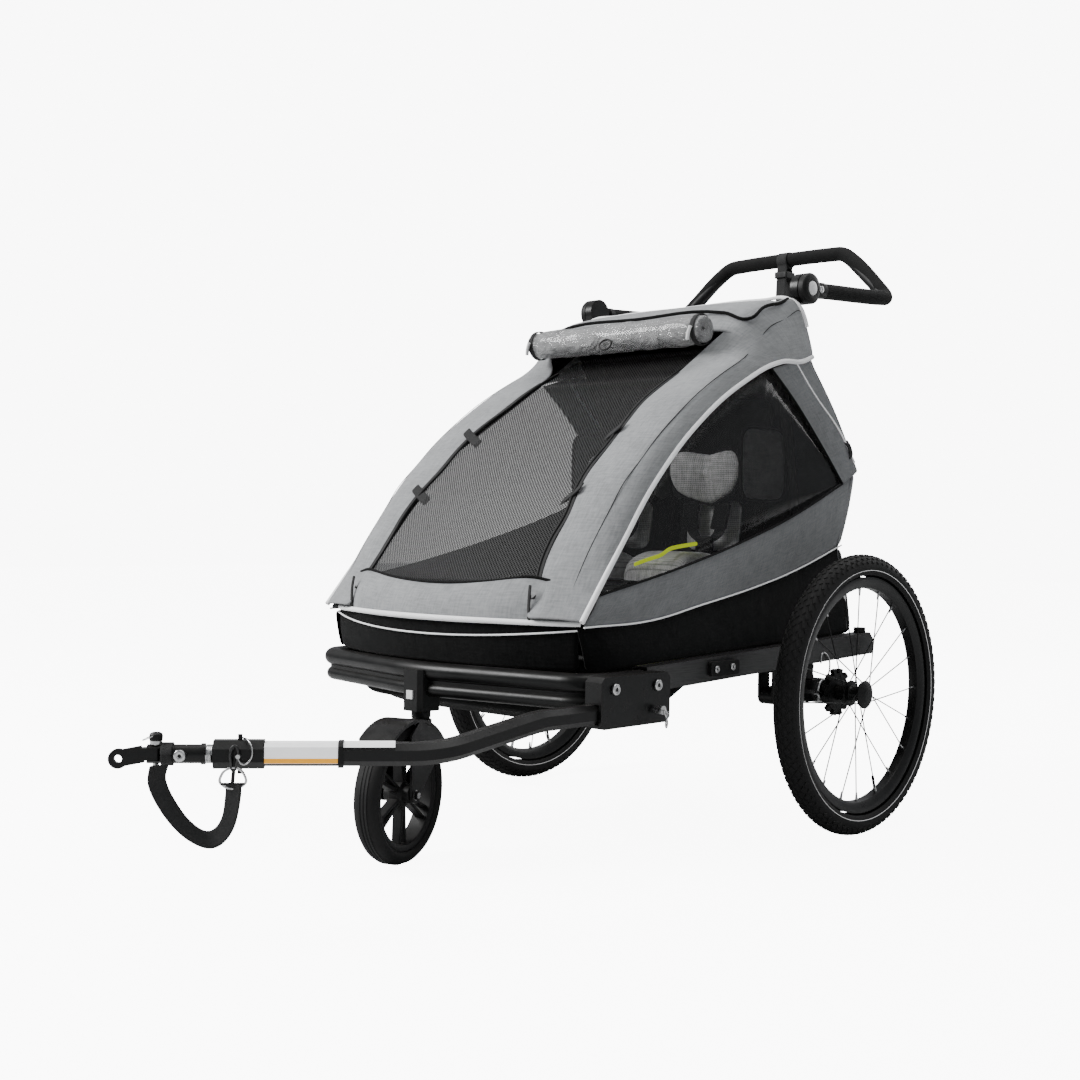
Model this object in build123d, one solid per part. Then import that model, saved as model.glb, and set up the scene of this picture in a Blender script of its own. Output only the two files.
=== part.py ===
from build123d import *
import math
import os

# Child bicycle trailer. Millimetres. The trailer faces -Y, its left side is +X and +Z is up.
# The shapes are drawn from the rear axle line, on the ground, and put() moves them so that
# the origin is on the ground in the middle of the overall length.

AXLE_TO_MIDDLE = 463.8

# wheels
WHEEL_R = 250.0
WHEEL_X = 405.0
TYRE_SECTION_R = 23.5
TYRE_WALL = 4.0
RIM_OUTER_R = 208.4
RIM_INNER_R = 190.0
SPOKES = 20
AXLE_R = 6.0
RUNNING_GAP = 0.05
DISC_X = 358.0
DISC_R = 42.5
DISC_TEETH = 12

# chassis
RAIL_X = 315.0
RAIL_WIDTH = 30.0
RAIL_HEIGHT = 40.0
RAIL_SLOPE = 0.04
RAIL_FRONT_Y = -505.0
RAIL_REAR_Y = 172.0
PIVOT_Y = -145.0
PIVOT_Z = 250.0
BUMPER_X = 317.0
BUMPER_Z = 303.0

# front wheel
SWIVEL_Y = -683.0
SWIVEL_ANGLE = 18.0
CASTER_R = 111.0
CASTER_WIDTH = 45.0
CASTER_LEAD = 65.0

# towing arm
BAR_X = 346.0
BAR_SIZE = 30.0
BAR_CORNERS = [(BAR_X, -500, 262), (BAR_X, -770, 262), (BAR_X, -960, 235), (150, -1183, 235)]
EYE_HOLE_R = 5.2
EYE_DROOP = 11.0

# frame that folds
FOLD_Y = -565.0
FOLD_Z = 352.0
HOOP_X = 255.0
HOOP_R = 12.0
HOOP_ROUTE = [(FOLD_Y, FOLD_Z), (-604, 452), (-412, 668), (-160, 826), (-14, 926), (4, 952)]
HOOP_BENDS = [70, 260, 300, 60]
REAR_PIVOT_Y = 100.0
REAR_PIVOT_Z = 362.0
REAR_TOP_Y = -4.0
REAR_TOP_Z = 885.0
REAR_X = 225.0

# push handle
HINGE_X = 262.0
HINGE_Y = 27.0
HINGE_Z = 990.0
HINGE_R = 29.0
GRIP_R = 14.5
HANDLE_ROUTE = [(HINGE_X, 72, 992), (HINGE_X, 318, 1008), (142, 346, 1117),
                (-142, 346, 1117), (-HINGE_X, 318, 1008), (-HINGE_X, 72, 992)]

# fabric body
CLOTH = 3.0
WALL_X = 305.0
WALL_Z = 400.0
WALL_LEAN = math.degrees(math.atan(0.06))
SEAM_FRONT = [(-618, 398), (-470, 393), (-337, 414), (-163, 444), (-36, 473), (101, 514)]
PIPING = [(-632, 401), (-538, 514), (-446, 619), (-321, 724), (-187, 802), (-77, 844), (-13, 850)]
SHOULDER = [(-640, 414), (-585, 505), (-505, 610), (-400, 708), (-290, 785), (-160, 852),
            (-73, 905), (-20, 958)]
WINDOW_FOOT = [(-582, 441), (-382, 478), (-167, 532), (-46, 569), (114, 630)]
WINDOW_REAR = [(114, 630), (45, 702), (-43, 782), (-100, 826)]
REAR_EDGE = [(101, 514), (120, 560), (152, 625), (172, 657), (148, 690), (92, 772), (20, 880), (-6, 950)]

os.makedirs("parts", exist_ok=True)


def put(name, *shapes):
    """Write one node's solids, moved from the axle line to the row's origin."""
    moved = [Pos(0, AXLE_TO_MIDDLE, 0) * shape for shape in shapes]
    solids = [solid for shape in moved for solid in shape.solids()]
    whole = solids[0] if len(solids) == 1 else Compound(children=solids)
    export_step(whole, f"parts/{name}.step")


def other_side(shape):
    return mirror(shape, about=Plane.YZ)


def put_pair(name, *shapes):
    """Write a left node and its mirror image on the right."""
    put(f"{name}_left", *shapes)
    put(f"{name}_right", *[other_side(shape) for shape in shapes])


def with_mirror(*shapes):
    return [*shapes, *[other_side(shape) for shape in shapes]]


def block(x0, x1, y0, y1, z0, z1):
    return Pos((x0 + x1) / 2, (y0 + y1) / 2, (z0 + z1) / 2) * Box(x1 - x0, y1 - y0, z1 - z0)


def rod(start, end, radius, bore=0.0):
    """A round bar between two points, with an optional hole along it."""
    line = Vector(*end) - Vector(*start)
    plane = Plane(origin=start, z_dir=line)
    bar = extrude(plane * Circle(radius), amount=line.length)
    if bore:
        bar -= extrude(plane * Circle(bore), amount=line.length)
    return bar


def tube(route, bends, radius, wall=0.0):
    """A round tube along straight runs and arcs."""
    path = FilletPolyline(*route, radius=bends)
    start = Plane(origin=path @ 0, z_dir=path % 0)
    bar = sweep(start * Circle(radius), path=path)
    if wall:
        bar -= sweep(start * Circle(radius - wall), path=path)
    return bar


def side_plate(outline, x, thickness):
    """A plate in a YZ plane, from x towards +X."""
    return extrude(Plane.YZ.offset(x) * make_face(outline), amount=thickness)


def rail_z(y):
    """Height of the sloping rail's centre line."""
    return 300 + RAIL_SLOPE * (y + 560)


# ---------------------------------------------------------------- rear wheels

def turned(profile, x):
    """Revolve a profile drawn as (radius, sideways) points round the axle."""
    face = make_face(Polyline(*[(s, r) for r, s in profile], close=True))
    ring = revolve(Plane.XY * face, axis=Axis.X)
    return Pos(x, 0, WHEEL_R) * ring


def tyre():
    centre = WHEEL_R - TYRE_SECTION_R
    outer = Pos(0, centre) * Circle(TYRE_SECTION_R)
    inner = Pos(0, centre) * Circle(TYRE_SECTION_R - TYRE_WALL)
    below = Pos(0, centre - 18 - 20) * Rectangle(80, 40)
    section = outer - inner - below
    return Pos(WHEEL_X, 0, WHEEL_R) * revolve(section, axis=Axis.X)


def rim():
    section = [(RIM_INNER_R, -11), (RIM_INNER_R, 11), (RIM_OUTER_R, 14.5), (RIM_OUTER_R, 11.5),
               (RIM_INNER_R + 3, 8.5), (RIM_INNER_R + 3, -8.5), (RIM_OUTER_R, -11.5), (RIM_OUTER_R, -14.5)]
    return turned(section, WHEEL_X)


def spokes():
    """Crossed spokes, from the two hub flanges in turn."""
    bars = []
    for i in range(SPOKES):
        angle = 2 * math.pi * i / SPOKES
        flange = WHEEL_X + (9 if i % 2 else -17)
        lead = math.radians(50 if i % 4 < 2 else -50)
        start = (flange, 20 * math.sin(angle + lead), WHEEL_R + 20 * math.cos(angle + lead))
        end = (WHEEL_X + (2 if i % 2 else -2), (RIM_INNER_R + 1) * math.sin(angle),
               WHEEL_R + (RIM_INNER_R + 1) * math.cos(angle))
        bars.append(rod(start, end, 1.1))
    return bars


def hub():
    bore = AXLE_R + RUNNING_GAP
    profile = [(bore, -63), (14, -63), (14, -19), (23, -19), (23, -15), (14, -15), (14, 7), (23, 7),
               (23, 11), (bore, 11)]
    return turned(profile, WHEEL_X)


def hub_cap():
    dome = [(0, 11.2), (25, 11.2), (25, 13.5), (20, 16.5), (11, 18.3), (0, 18.8)]
    return turned(dome, WHEEL_X)


def brake_disc():
    """A drum whose rim is cut into square teeth, with a gap in front for the brake pin."""
    disc = rod((DISC_X - 4, 0, WHEEL_R), (DISC_X + 4, 0, WHEEL_R), DISC_R, 14.1)
    gap = block(DISC_X - 8, DISC_X + 8, -DISC_R - 5, -34, WHEEL_R - 5.4, WHEEL_R + 5.4)
    for i in range(DISC_TEETH):
        disc -= Pos(0, 0, WHEEL_R) * Rot(360 * i / DISC_TEETH, 0, 0) * Pos(0, 0, -WHEEL_R) * gap
    return disc


put_pair("tyre", tyre())
put_pair("rim", rim())
put_pair("spokes", *spokes())
put_pair("hub", hub(), hub_cap())
put_pair("brake_disc", brake_disc())


# ---------------------------------------------------------------- suspension arms

ARM_X0 = 303.0
ARM_X1 = 327.0
PIN_Y = -38.5


def suspension_arm():
    """Plate arm from the pivot to the axle housing, with a bore for the brake pin."""
    with_edges = Polyline((PIVOT_Y, PIVOT_Z - 14), (PIVOT_Y, PIVOT_Z + 14), (-50, PIVOT_Z + 21),
                          (10, PIVOT_Z + 21), (10, PIVOT_Z - 18), (-60, PIVOT_Z - 18), close=True)
    arm = side_plate(with_edges, ARM_X0, ARM_X1 - ARM_X0)
    arm += rod((ARM_X0, PIVOT_Y, PIVOT_Z), (ARM_X1, PIVOT_Y, PIVOT_Z), 15)
    arm += rod((286, 0, WHEEL_R), (336, 0, WHEEL_R), 20.5)
    arm -= rod((300, PIVOT_Y, PIVOT_Z), (330, PIVOT_Y, PIVOT_Z), 5 + RUNNING_GAP)
    arm -= rod((280, 0, WHEEL_R), (340, 0, WHEEL_R), AXLE_R)
    arm -= rod((290, PIN_Y, WHEEL_R), (340, PIN_Y, WHEEL_R), 4 + RUNNING_GAP)
    return arm


def pivot_bracket():
    """Two cheeks and a saddle under the rail."""
    top = rail_z(PIVOT_Y) - RAIL_HEIGHT / 2
    parts = []
    for x in (ARM_X0 - 4.5, ARM_X1 + 0.5):
        cheek = block(x, x + 4, PIVOT_Y - 15, PIVOT_Y + 15, PIVOT_Z, top - 1)
        cheek += rod((x, PIVOT_Y, PIVOT_Z), (x + 4, PIVOT_Y, PIVOT_Z), 15)
        parts.append(cheek - rod((x - 1, PIVOT_Y, PIVOT_Z), (x + 5, PIVOT_Y, PIVOT_Z), 5))
    saddle = block(ARM_X0 - 4.5, ARM_X1 + 4.5, PIVOT_Y - 15, PIVOT_Y + 15, top - 5, top - 1)
    return parts[0] + parts[1] + saddle


axle_pin = rod((286, 0, WHEEL_R), (WHEEL_X + 10.5, 0, WHEEL_R), AXLE_R)
put_pair("suspension_arm", suspension_arm(), axle_pin)
put_pair("brake_pin", rod((306, PIN_Y, WHEEL_R), (348, PIN_Y, WHEEL_R), 4))
put_pair("suspension_spring", block(ARM_X0, ARM_X1, -44, -12, PIVOT_Z + 21.4, rail_z(-28) - 21))
brackets = pivot_bracket()
bolt = rod((ARM_X0 - 8, PIVOT_Y, PIVOT_Z), (ARM_X1 + 4.6, PIVOT_Y, PIVOT_Z), 5)
bolt_head = rod((ARM_X1 + 4.7, PIVOT_Y, PIVOT_Z), (ARM_X1 + 9, PIVOT_Y, PIVOT_Z), 8)


# ---------------------------------------------------------------- chassis

def side_rail():
    half = RAIL_HEIGHT / 2
    outline = Polyline((RAIL_FRONT_Y, rail_z(RAIL_FRONT_Y) - half), (RAIL_FRONT_Y, rail_z(RAIL_FRONT_Y) + half),
                       (RAIL_REAR_Y - 12, rail_z(RAIL_REAR_Y) + half), (RAIL_REAR_Y, rail_z(RAIL_REAR_Y) + half - 12),
                       (RAIL_REAR_Y, rail_z(RAIL_REAR_Y) - half), close=True)
    rail = side_plate(outline, RAIL_X - RAIL_WIDTH / 2, RAIL_WIDTH)
    hollow = Polyline((RAIL_FRONT_Y - 1, rail_z(RAIL_FRONT_Y) - half + 3), (RAIL_FRONT_Y - 1, rail_z(RAIL_FRONT_Y) + half - 3),
                      (RAIL_REAR_Y - 14, rail_z(RAIL_REAR_Y) + half - 3),
                      (RAIL_REAR_Y - 14, rail_z(RAIL_REAR_Y) - half + 3), close=True)
    return rail - side_plate(hollow, RAIL_X - RAIL_WIDTH / 2 + 3, RAIL_WIDTH - 6)


def front_bumper():
    """Bowed front rail: a thick upper bead, a thin lower bead and a web between them."""
    path = FilletPolyline((BUMPER_X, RAIL_FRONT_Y, BUMPER_Z), (BUMPER_X, -630, BUMPER_Z), (0, -690, BUMPER_Z),
                          (-BUMPER_X, -630, BUMPER_Z), (-BUMPER_X, RAIL_FRONT_Y, BUMPER_Z), radius=[48, 420, 48])
    section = Circle(15) + Pos(0, -15) * Rectangle(9, 30) + Pos(0, -30) * Circle(11)
    start = Plane(origin=path @ 0, x_dir=(1, 0, 0), z_dir=path % 0)
    return sweep(start * section, path=path)


bumper = front_bumper()
put("side_rails", *with_mirror(side_rail()))
put("front_bumper", bumper)

knob = rod((RAIL_X, 147, rail_z(147) + 21.0), (RAIL_X, 147, rail_z(147) + 30), 11)

REAR_TUBE_Y = 148.0
REAR_TUBE_Z = rail_z(REAR_TUBE_Y) - 6
rear_tube = rod((-299.8, REAR_TUBE_Y, REAR_TUBE_Z), (299.8, REAR_TUBE_Y, REAR_TUBE_Z), 13, 10.5)
mid_tube = rod((-299.8, -310, 300), (299.8, -310, 300), 13, 10.5)
put("cross_tubes", rear_tube, mid_tube)

pedal = rod((-40, REAR_TUBE_Y, REAR_TUBE_Z), (40, REAR_TUBE_Y, REAR_TUBE_Z), 19, 13 + RUNNING_GAP)
pedal += block(-40, 40, REAR_TUBE_Y + 16, REAR_TUBE_Y + 75, REAR_TUBE_Z - 5, REAR_TUBE_Z + 5)
put("brake_pedal", pedal)

plate = block(RAIL_X + 15.1, RAIL_X + 22, -347, -269, rail_z(-308) - 12, rail_z(-308) + 12)
plate = fillet(plate.edges().filter_by(Axis.X), 5)
rivets = [rod((RAIL_X + 22.1, y, rail_z(y)), (RAIL_X + 24.5, y, rail_z(y)), 4.5) for y in (-333, -289)]
put("chassis_fittings", *with_mirror(plate, knob, *rivets, brackets, bolt, bolt_head))


# ---------------------------------------------------------------- front wheel

def caster_block():
    body = block(-23, 23, SWIVEL_Y - 24, SWIVEL_Y + 26, 238, 306)
    body = chamfer(body.edges().filter_by(Axis.Z), 7)
    body += rod((0, SWIVEL_Y, 222), (0, SWIVEL_Y, 240), 14.5)
    body -= rod((0, SWIVEL_Y, 215), (0, SWIVEL_Y, 256), 6 + RUNNING_GAP)
    body -= block(-7.3, 7.3, SWIVEL_Y - 30, SWIVEL_Y - 18, 257.7, 272.3)
    return body - bumper


def at_swivel(shape):
    """Turn a piece drawn facing -Y, with the swivel on Z, to its resting direction."""
    return Pos(0, SWIVEL_Y, 0) * Rot(0, 0, SWIVEL_ANGLE) * shape


def caster_fork():
    crown = rod((-31, -CASTER_LEAD, CASTER_R), (31, -CASTER_LEAD, CASTER_R), 120, 115)
    wedge = extrude(Plane.YZ.offset(-40) * make_face(Polyline(
        (-CASTER_LEAD, CASTER_R), (-CASTER_LEAD - 150, CASTER_R + 190), (-CASTER_LEAD + 190, CASTER_R + 190),
        (-CASTER_LEAD + 190, CASTER_R + 100), close=True)), amount=80)
    hood = crown & wedge
    leg_outline = Polyline((-CASTER_LEAD - 13, CASTER_R), (-CASTER_LEAD - 16, CASTER_R + 96),
                           (-CASTER_LEAD + 10, CASTER_R + 117), (-4, CASTER_R + 99), (20, CASTER_R + 80),
                           (4, CASTER_R + 52), (-CASTER_LEAD + 13, CASTER_R), close=True)
    fork = hood + rod((0, 0, CASTER_R + 86), (0, 0, 221.6), 18)
    fork -= rod((-26, -CASTER_LEAD, CASTER_R), (26, -CASTER_LEAD, CASTER_R), 115)
    for x in (-31, 27):
        leg = side_plate(leg_outline, x, 4)
        leg += rod((x, -CASTER_LEAD, CASTER_R), (x + 4, -CASTER_LEAD, CASTER_R), 13)
        fork += leg - rod((x - 1, -CASTER_LEAD, CASTER_R), (x + 5, -CASTER_LEAD, CASTER_R), 4)
    return fork + rod((0, 0, 220), (0, 0, 255), 6)


def caster_rim():
    """Moulded wheel: a ring, a hub and six pairs of spokes."""
    axle = ((-14, 0, 0), (14, 0, 0))
    wheel = rod(axle[0], axle[1], 90, 80) + rod((-24, 0, 0), (24, 0, 0), 13)
    for i in range(6):
        for side in (-1, 1):
            bar = Pos(0, side * 8, 47) * Rot(side * 3, 0, 0) * Box(16, 5, 76)
            wheel += Rot(60 * i, 0, 0) * bar
    wheel -= rod((-30, 0, 0), (30, 0, 0), 4 + RUNNING_GAP)
    return Pos(0, -CASTER_LEAD, CASTER_R) * wheel


def caster_tyre():
    half = CASTER_WIDTH / 2
    section = Polyline((-half + 6, 90.3), (-half, 96), (-half, 103), (-half + 7, CASTER_R), (half - 7, CASTER_R),
                       (half, 103), (half, 96), (half - 6, 90.3), close=True)
    ring = revolve(Plane.XY * make_face(section), axis=Axis.X)
    return Pos(0, -CASTER_LEAD, CASTER_R) * ring


caster_axle = rod((-34, -CASTER_LEAD, CASTER_R), (34, -CASTER_LEAD, CASTER_R), 4)
caster_axle += rod((31.1, -CASTER_LEAD, CASTER_R), (36, -CASTER_LEAD, CASTER_R), 7)
caster_axle += rod((-36, -CASTER_LEAD, CASTER_R), (-31.1, -CASTER_LEAD, CASTER_R), 7)
put("caster_block", caster_block())
put("caster_button", block(-7, 7, SWIVEL_Y - 26.5, SWIVEL_Y - 21.5, 258, 272))
put("caster_fork", at_swivel(caster_fork()), at_swivel(caster_axle))
put("caster_rim", at_swivel(caster_rim()))
put("caster_tyre", at_swivel(caster_tyre()))


# ---------------------------------------------------------------- towing arm and hitch

def bar_section(size, corner):
    face = Rectangle(size, size)
    return chamfer(face.vertices(), corner)


bar_path = FilletPolyline(*BAR_CORNERS, radius=[220, 110])
bar_start = Plane(origin=bar_path @ 0, x_dir=(1, 0, 0), z_dir=bar_path % 0)
drawbar = sweep(bar_start * bar_section(BAR_SIZE, 8), path=bar_path)
drawbar -= sweep(bar_start * bar_section(BAR_SIZE - 5, 6), path=bar_path)
drawbar -= rod((BAR_X - 30, -530, 262), (BAR_X + 30, -530, 262), 4)

bar_end = bar_path @ 1
bar_along = bar_path % 1
hitch_turn = math.degrees(math.atan2(bar_along.X, -bar_along.Y))


def at_hitch(shape):
    """Turn a piece drawn along -Y, with the bar's front end at the origin."""
    return Pos(bar_end.X, bar_end.Y, 235) * Rot(0, 0, hitch_turn) * shape


def octagon_bar(y0, y1, size, corner):
    plane = Plane(origin=(0, y0, 0), x_dir=(1, 0, 0), z_dir=(0, -1, 0))
    return extrude(plane * bar_section(size, corner), amount=y0 - y1)


sleeve = octagon_bar(66, 0, BAR_SIZE + 7, 10) - octagon_bar(80, -1, BAR_SIZE + 2.4, 8)
spring = octagon_bar(-0.5, -10.5, 23, 6) - rod((0, 0, 0), (0, -12, 0), 8.1)
stub = rod((0, 14, 0), (0, 0, 0), 12.2) + rod((0, 0, 0), (0, -7, 0), 8)
barrel = rod((0, -10.8, 0), (0, -86, 0), 12.5) + rod((0, -10.8, 0), (0, -16, 0), 14)
barrel -= block(-14, 14, -90, -66, -8.5, 8.5)
barrel -= rod((0, -75, -20), (0, -75, 20), 4)
side_bolt = rod((12.6, -42, 0), (18, -42, 0), 8)
tongue = block(-8, 8, -94, -75, -8, 8) + rod((0, -75, -8), (0, -75, 8), 8)
eye = block(-4, 4, -33, -1, -11, 11) + rod((-4, -33, 0), (4, -33, 0), 13)
eye -= rod((-9, -33, 0), (9, -33, 0), EYE_HOLE_R)
eye = Pos(0, -91, 0) * Rot(EYE_DROOP, 0, 0) * eye
tongue += eye
tongue -= rod((0, -75, -20), (0, -75, 20), 4 + RUNNING_GAP)
lock_pin = rod((0, -75, -16), (0, -75, 15), 4) + rod((0, -75, 13.2), (0, -75, 27), 8)

bracket = block(RAIL_X + 15.1, RAIL_X + 51, -655, -492, 240, 318)
bracket = chamfer(bracket.edges().filter_by(Axis.X), 8)
bracket -= block(BAR_X - 15.2, BAR_X + 15.2, -670, -480, 262 - 15.2, 262 + 15.2)
bracket -= block(RAIL_X + 14, RAIL_X + 19, -660, -480, 262 + 15, 320)
bracket -= rod((BAR_X - 30, -530, 262), (BAR_X + 30, -530, 262), 4)
screws = [rod((RAIL_X + 51.1, y, 299), (RAIL_X + 56, y, 299), 7) for y in (-625, -525)]
bar_pin = rod((BAR_X - 15, -530, 262), (BAR_X + 38, -530, 262), 3.95)
bar_pin += rod((BAR_X + 26, -530, 262), (BAR_X + 38, -530, 262), 7)
cross_pin = rod((0, 34, -26), (0, 34, 26), 3)
drawbar -= at_hitch(rod((0, 34, -26), (0, 34, 26), 3.05))

put("drawbar_bracket", bracket, *screws)
put("drawbar_pin", bar_pin)
put("drawbar", drawbar)
STRAP_WIDTH = 25.0
STRAP_THICK = 2.0
STRAP_OUTER = [(-75, -14), (-72, -32), (-46, -82), (-4, -116), (16, -112), (32, -74), (40, -38)]
STRAP_INNER = [(15, -38), (12, -74), (4, -104), (-26, -84), (-50, -48), (-58, -14)]


def hanging_strap():
    """Flat webbing that hangs in a U beside the hitch, from the barrel to a ring."""
    outer = Spline(*STRAP_OUTER)
    inner = Spline(*STRAP_INNER)
    face = make_face([outer, inner, Line(outer @ 1, inner @ 0), Line(inner @ 1, outer @ 0)])
    return extrude(Plane.YZ.offset(19.1) * face, amount=STRAP_THICK)


def ribbon(route, width, thick):
    """A flat strap along straight runs and the largest arcs that fit them."""
    points = [Vector(*p) for p in route]
    radii = []
    for before, here, after in zip(points, points[1:], points[2:]):
        run = min((here - before).length, (after - here).length)
        turn = math.radians((here - before).get_angle(after - here))
        radii.append(0.45 * run / math.tan(turn / 2))
    path = FilletPolyline(*route, radius=radii)
    start = Plane(origin=path @ 0, x_dir=(1, 0, 0), z_dir=path % 0)
    return sweep(start * Rectangle(width, thick), path=path)


strap_loop = rod((0, -66, 0), (0, -52, 0), 14.9, 12.8) + block(12.9, 19, -66, -52, -15, -2)
strap_ring = rod((22, 12, -36), (22, 43, -36), 1.6) + rod((22, 27, -36), (22, 31, 12), 2.5)
sleeve -= rod((0, 34, -26), (0, 34, 26), 3.05)
put("hitch_sleeve", *[at_hitch(shape) for shape in (sleeve, stub, cross_pin, strap_ring)])
put("hitch_spring", at_hitch(spring))
put("coupling_barrel", at_hitch(barrel), at_hitch(side_bolt))
put("hitch_eye", at_hitch(tongue))
put("lock_pin", at_hitch(lock_pin))
put("safety_strap", at_hitch(hanging_strap()), at_hitch(strap_loop))


# ---------------------------------------------------------------- frame that folds

def hoop():
    route = [(HOOP_X, y, z) for y, z in HOOP_ROUTE]
    bar = tube(route, HOOP_BENDS, HOOP_R, 2)
    bar += rod((HOOP_X - 12, FOLD_Y, FOLD_Z), (HOOP_X + 12, FOLD_Y, FOLD_Z), 14)
    return bar - rod((HOOP_X - 20, FOLD_Y, FOLD_Z), (HOOP_X + 20, FOLD_Y, FOLD_Z), 5 + RUNNING_GAP)


fold_bracket = block(270, 298.5, FOLD_Y - 20, FOLD_Y + 22, 322, 374)
fold_bracket -= rod((260, FOLD_Y, FOLD_Z), (300, FOLD_Y, FOLD_Z), 5)
fold_bolt = rod((240, FOLD_Y, FOLD_Z), (296, FOLD_Y, FOLD_Z), 5)
fold_bolt += rod((237, FOLD_Y, FOLD_Z), (242.5, FOLD_Y, FOLD_Z), 9)
top_tube = rod((-242.8, -12, 926), (242.8, -12, 926), 10, 8)
rear_posts = []
for x in (-REAR_X, REAR_X):
    post = rod((x, REAR_PIVOT_Y, REAR_PIVOT_Z), (x, REAR_TOP_Y, REAR_TOP_Z), 9)
    post += rod((x - 9, REAR_PIVOT_Y, REAR_PIVOT_Z), (x + 9, REAR_PIVOT_Y, REAR_PIVOT_Z), 12)
    rear_posts.append(post - rod((x - 20, REAR_PIVOT_Y, REAR_PIVOT_Z), (x + 20, REAR_PIVOT_Y, REAR_PIVOT_Z), 4.05))
rear_bar = rod((-REAR_X + 9.5, REAR_TOP_Y, REAR_TOP_Z), (REAR_X - 9.5, REAR_TOP_Y, REAR_TOP_Z), 8)
rear_clips = []
for x in (-REAR_X, REAR_X):
    clip = block(x - 22, x - 9.6, REAR_PIVOT_Y - 14, REAR_PIVOT_Y + 14, 334.3, 376)
    clip += block(x + 9.6, x + 22, REAR_PIVOT_Y - 14, REAR_PIVOT_Y + 14, 334.3, 376)
    clip -= rod((x - 30, REAR_PIVOT_Y, REAR_PIVOT_Z), (x + 30, REAR_PIVOT_Y, REAR_PIVOT_Z), 4)
    rear_clips.append(clip)
    rear_clips.append(rod((x - 22, REAR_PIVOT_Y, REAR_PIVOT_Z), (x + 22, REAR_PIVOT_Y, REAR_PIVOT_Z), 4))

put("hoops", *with_mirror(hoop()), top_tube)
put("frame_brackets", *with_mirror(fold_bracket, fold_bolt), *rear_clips)
put("rear_frame", *rear_posts, rear_bar)


# ---------------------------------------------------------------- push handle

hinge_fixed = rod((HINGE_X - 16, HINGE_Y, HINGE_Z), (HINGE_X - 0.3, HINGE_Y, HINGE_Z), HINGE_R)
hinge_fixed += rod((HOOP_X - 1, HINGE_Y - 8, HINGE_Z - 14), (HOOP_X - 1, HOOP_ROUTE[-1][0] - 6, HOOP_ROUTE[-1][1] - 9), 7.5)
hinge_moving = rod((HINGE_X + 0.3, HINGE_Y, HINGE_Z), (HINGE_X + 16, HINGE_Y, HINGE_Z), HINGE_R)
hinge_moving += block(HINGE_X + 0.3, HINGE_X + 14, HINGE_Y + 20, 71, HINGE_Z - 12, HINGE_Z + 14)
hinge_moving -= rod((HINGE_X + 6, HINGE_Y, HINGE_Z), (HINGE_X + 20, HINGE_Y, HINGE_Z), 14.3)
button = rod((HINGE_X + 9.5, HINGE_Y, HINGE_Z), (HINGE_X + 17.5, HINGE_Y, HINGE_Z), 14)
grip = tube(HANDLE_ROUTE, [28, 28, 28, 28], GRIP_R)
grip -= tube(HANDLE_ROUTE, [28, 28, 28, 28], 11)
put("hinge_housings", *with_mirror(hinge_fixed))
put("hinge_arms", *with_mirror(hinge_moving))
put_pair("handle_button", button)
put("handle_grip", grip)
put("handle_tube", tube(HANDLE_ROUTE, [28, 28, 28, 28], 11, 2))

WRIST_ROUTE = [(0, 340, 1102), (0, 334, 1060), (0, 330, 1020), (0, 330, 985), (0, 343, 962), (0, 357, 985),
               (0, 358, 1020), (0, 356, 1060), (0, 351, 1102)]
put("wrist_strap", ribbon(WRIST_ROUTE, STRAP_WIDTH, STRAP_THICK))


# ---------------------------------------------------------------- floor and black skirt

def on_wall(shape):
    """Lean a plate, drawn upright at x = 0 with z from the wall's datum, against the side."""
    return Pos(WALL_X, 0, WALL_Z) * Rot(0, -WALL_LEAN, 0) * Pos(0, 0, -WALL_Z) * shape


def wall_plate(outline, inset=0.0, thickness=CLOTH):
    return on_wall(side_plate(outline, -thickness - inset, thickness))


def bow(y_side, half, depth):
    """A shallow arc in plan, from one side to the other."""
    return ThreePointArc((-half, y_side), (0, y_side - depth), (half, y_side))


def bowed_face(y_side, half, depth, thickness, z):
    """A thin curved band in plan at height z."""
    front = bow(y_side, half, depth)
    back = bow(y_side + thickness, half, depth)
    face = make_face([front, back, Line(front @ 0, back @ 0), Line(front @ 1, back @ 1)])
    return Pos(0, 0, z) * face


floor_pan = block(-290, 290, -282, 118, 330, 334)
tray = Polyline((-592, 333), (-592, 242), (-580, 238), (-548, 238), (-512, 217), (-425, 217), (-286, 282), (-286, 329.5),
                (-289, 333), close=True)
tray_inside = Polyline((-589, 340), (-589, 243), (-579, 241), (-547, 241), (-511, 220), (-426, 220), (-289, 284), (-289, 340), close=True)
footwell = side_plate(tray, -262, 524) - side_plate(tray_inside, -259, 518)
footwell -= rod((-300, -310, 300), (300, -310, 300), 14)
seat_board = [block(-212, 212, -300, -40, 398, 403.5), block(-212, 212, -300, -295, 334.3, 397.9)]
put("floor_pan", floor_pan, *seat_board)
put("footwell", footwell)

skirt_low = [(128, rail_z(128) + 22), (-605, rail_z(-605) + 22)]
skirt_side = wall_plate(Polyline(*skirt_low, (-618, 394), (-470, 389), (-337, 410), (-163, 440), (-36, 469),
                                 (103, 509), close=True))
skirt_front = loft([bowed_face(-612, 284, 70, CLOTH, 321), bowed_face(-622, 288, 66, CLOTH, 392)])
put("skirt", *with_mirror(skirt_side), skirt_front)
put("front_lip", loft([bowed_face(-622, 288, 66, CLOTH, 393), bowed_face(-619, 207, 27, CLOTH, 446)]))


# ---------------------------------------------------------------- grey canopy

COVER_TOP = 806.0

def shifted(line, dy, dz):
    return [(y + dy, z + dz) for y, z in line]


def reach_at(z):
    """Half-width of the front opening."""
    return 207 - 47 * (z - 446) / 426


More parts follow.
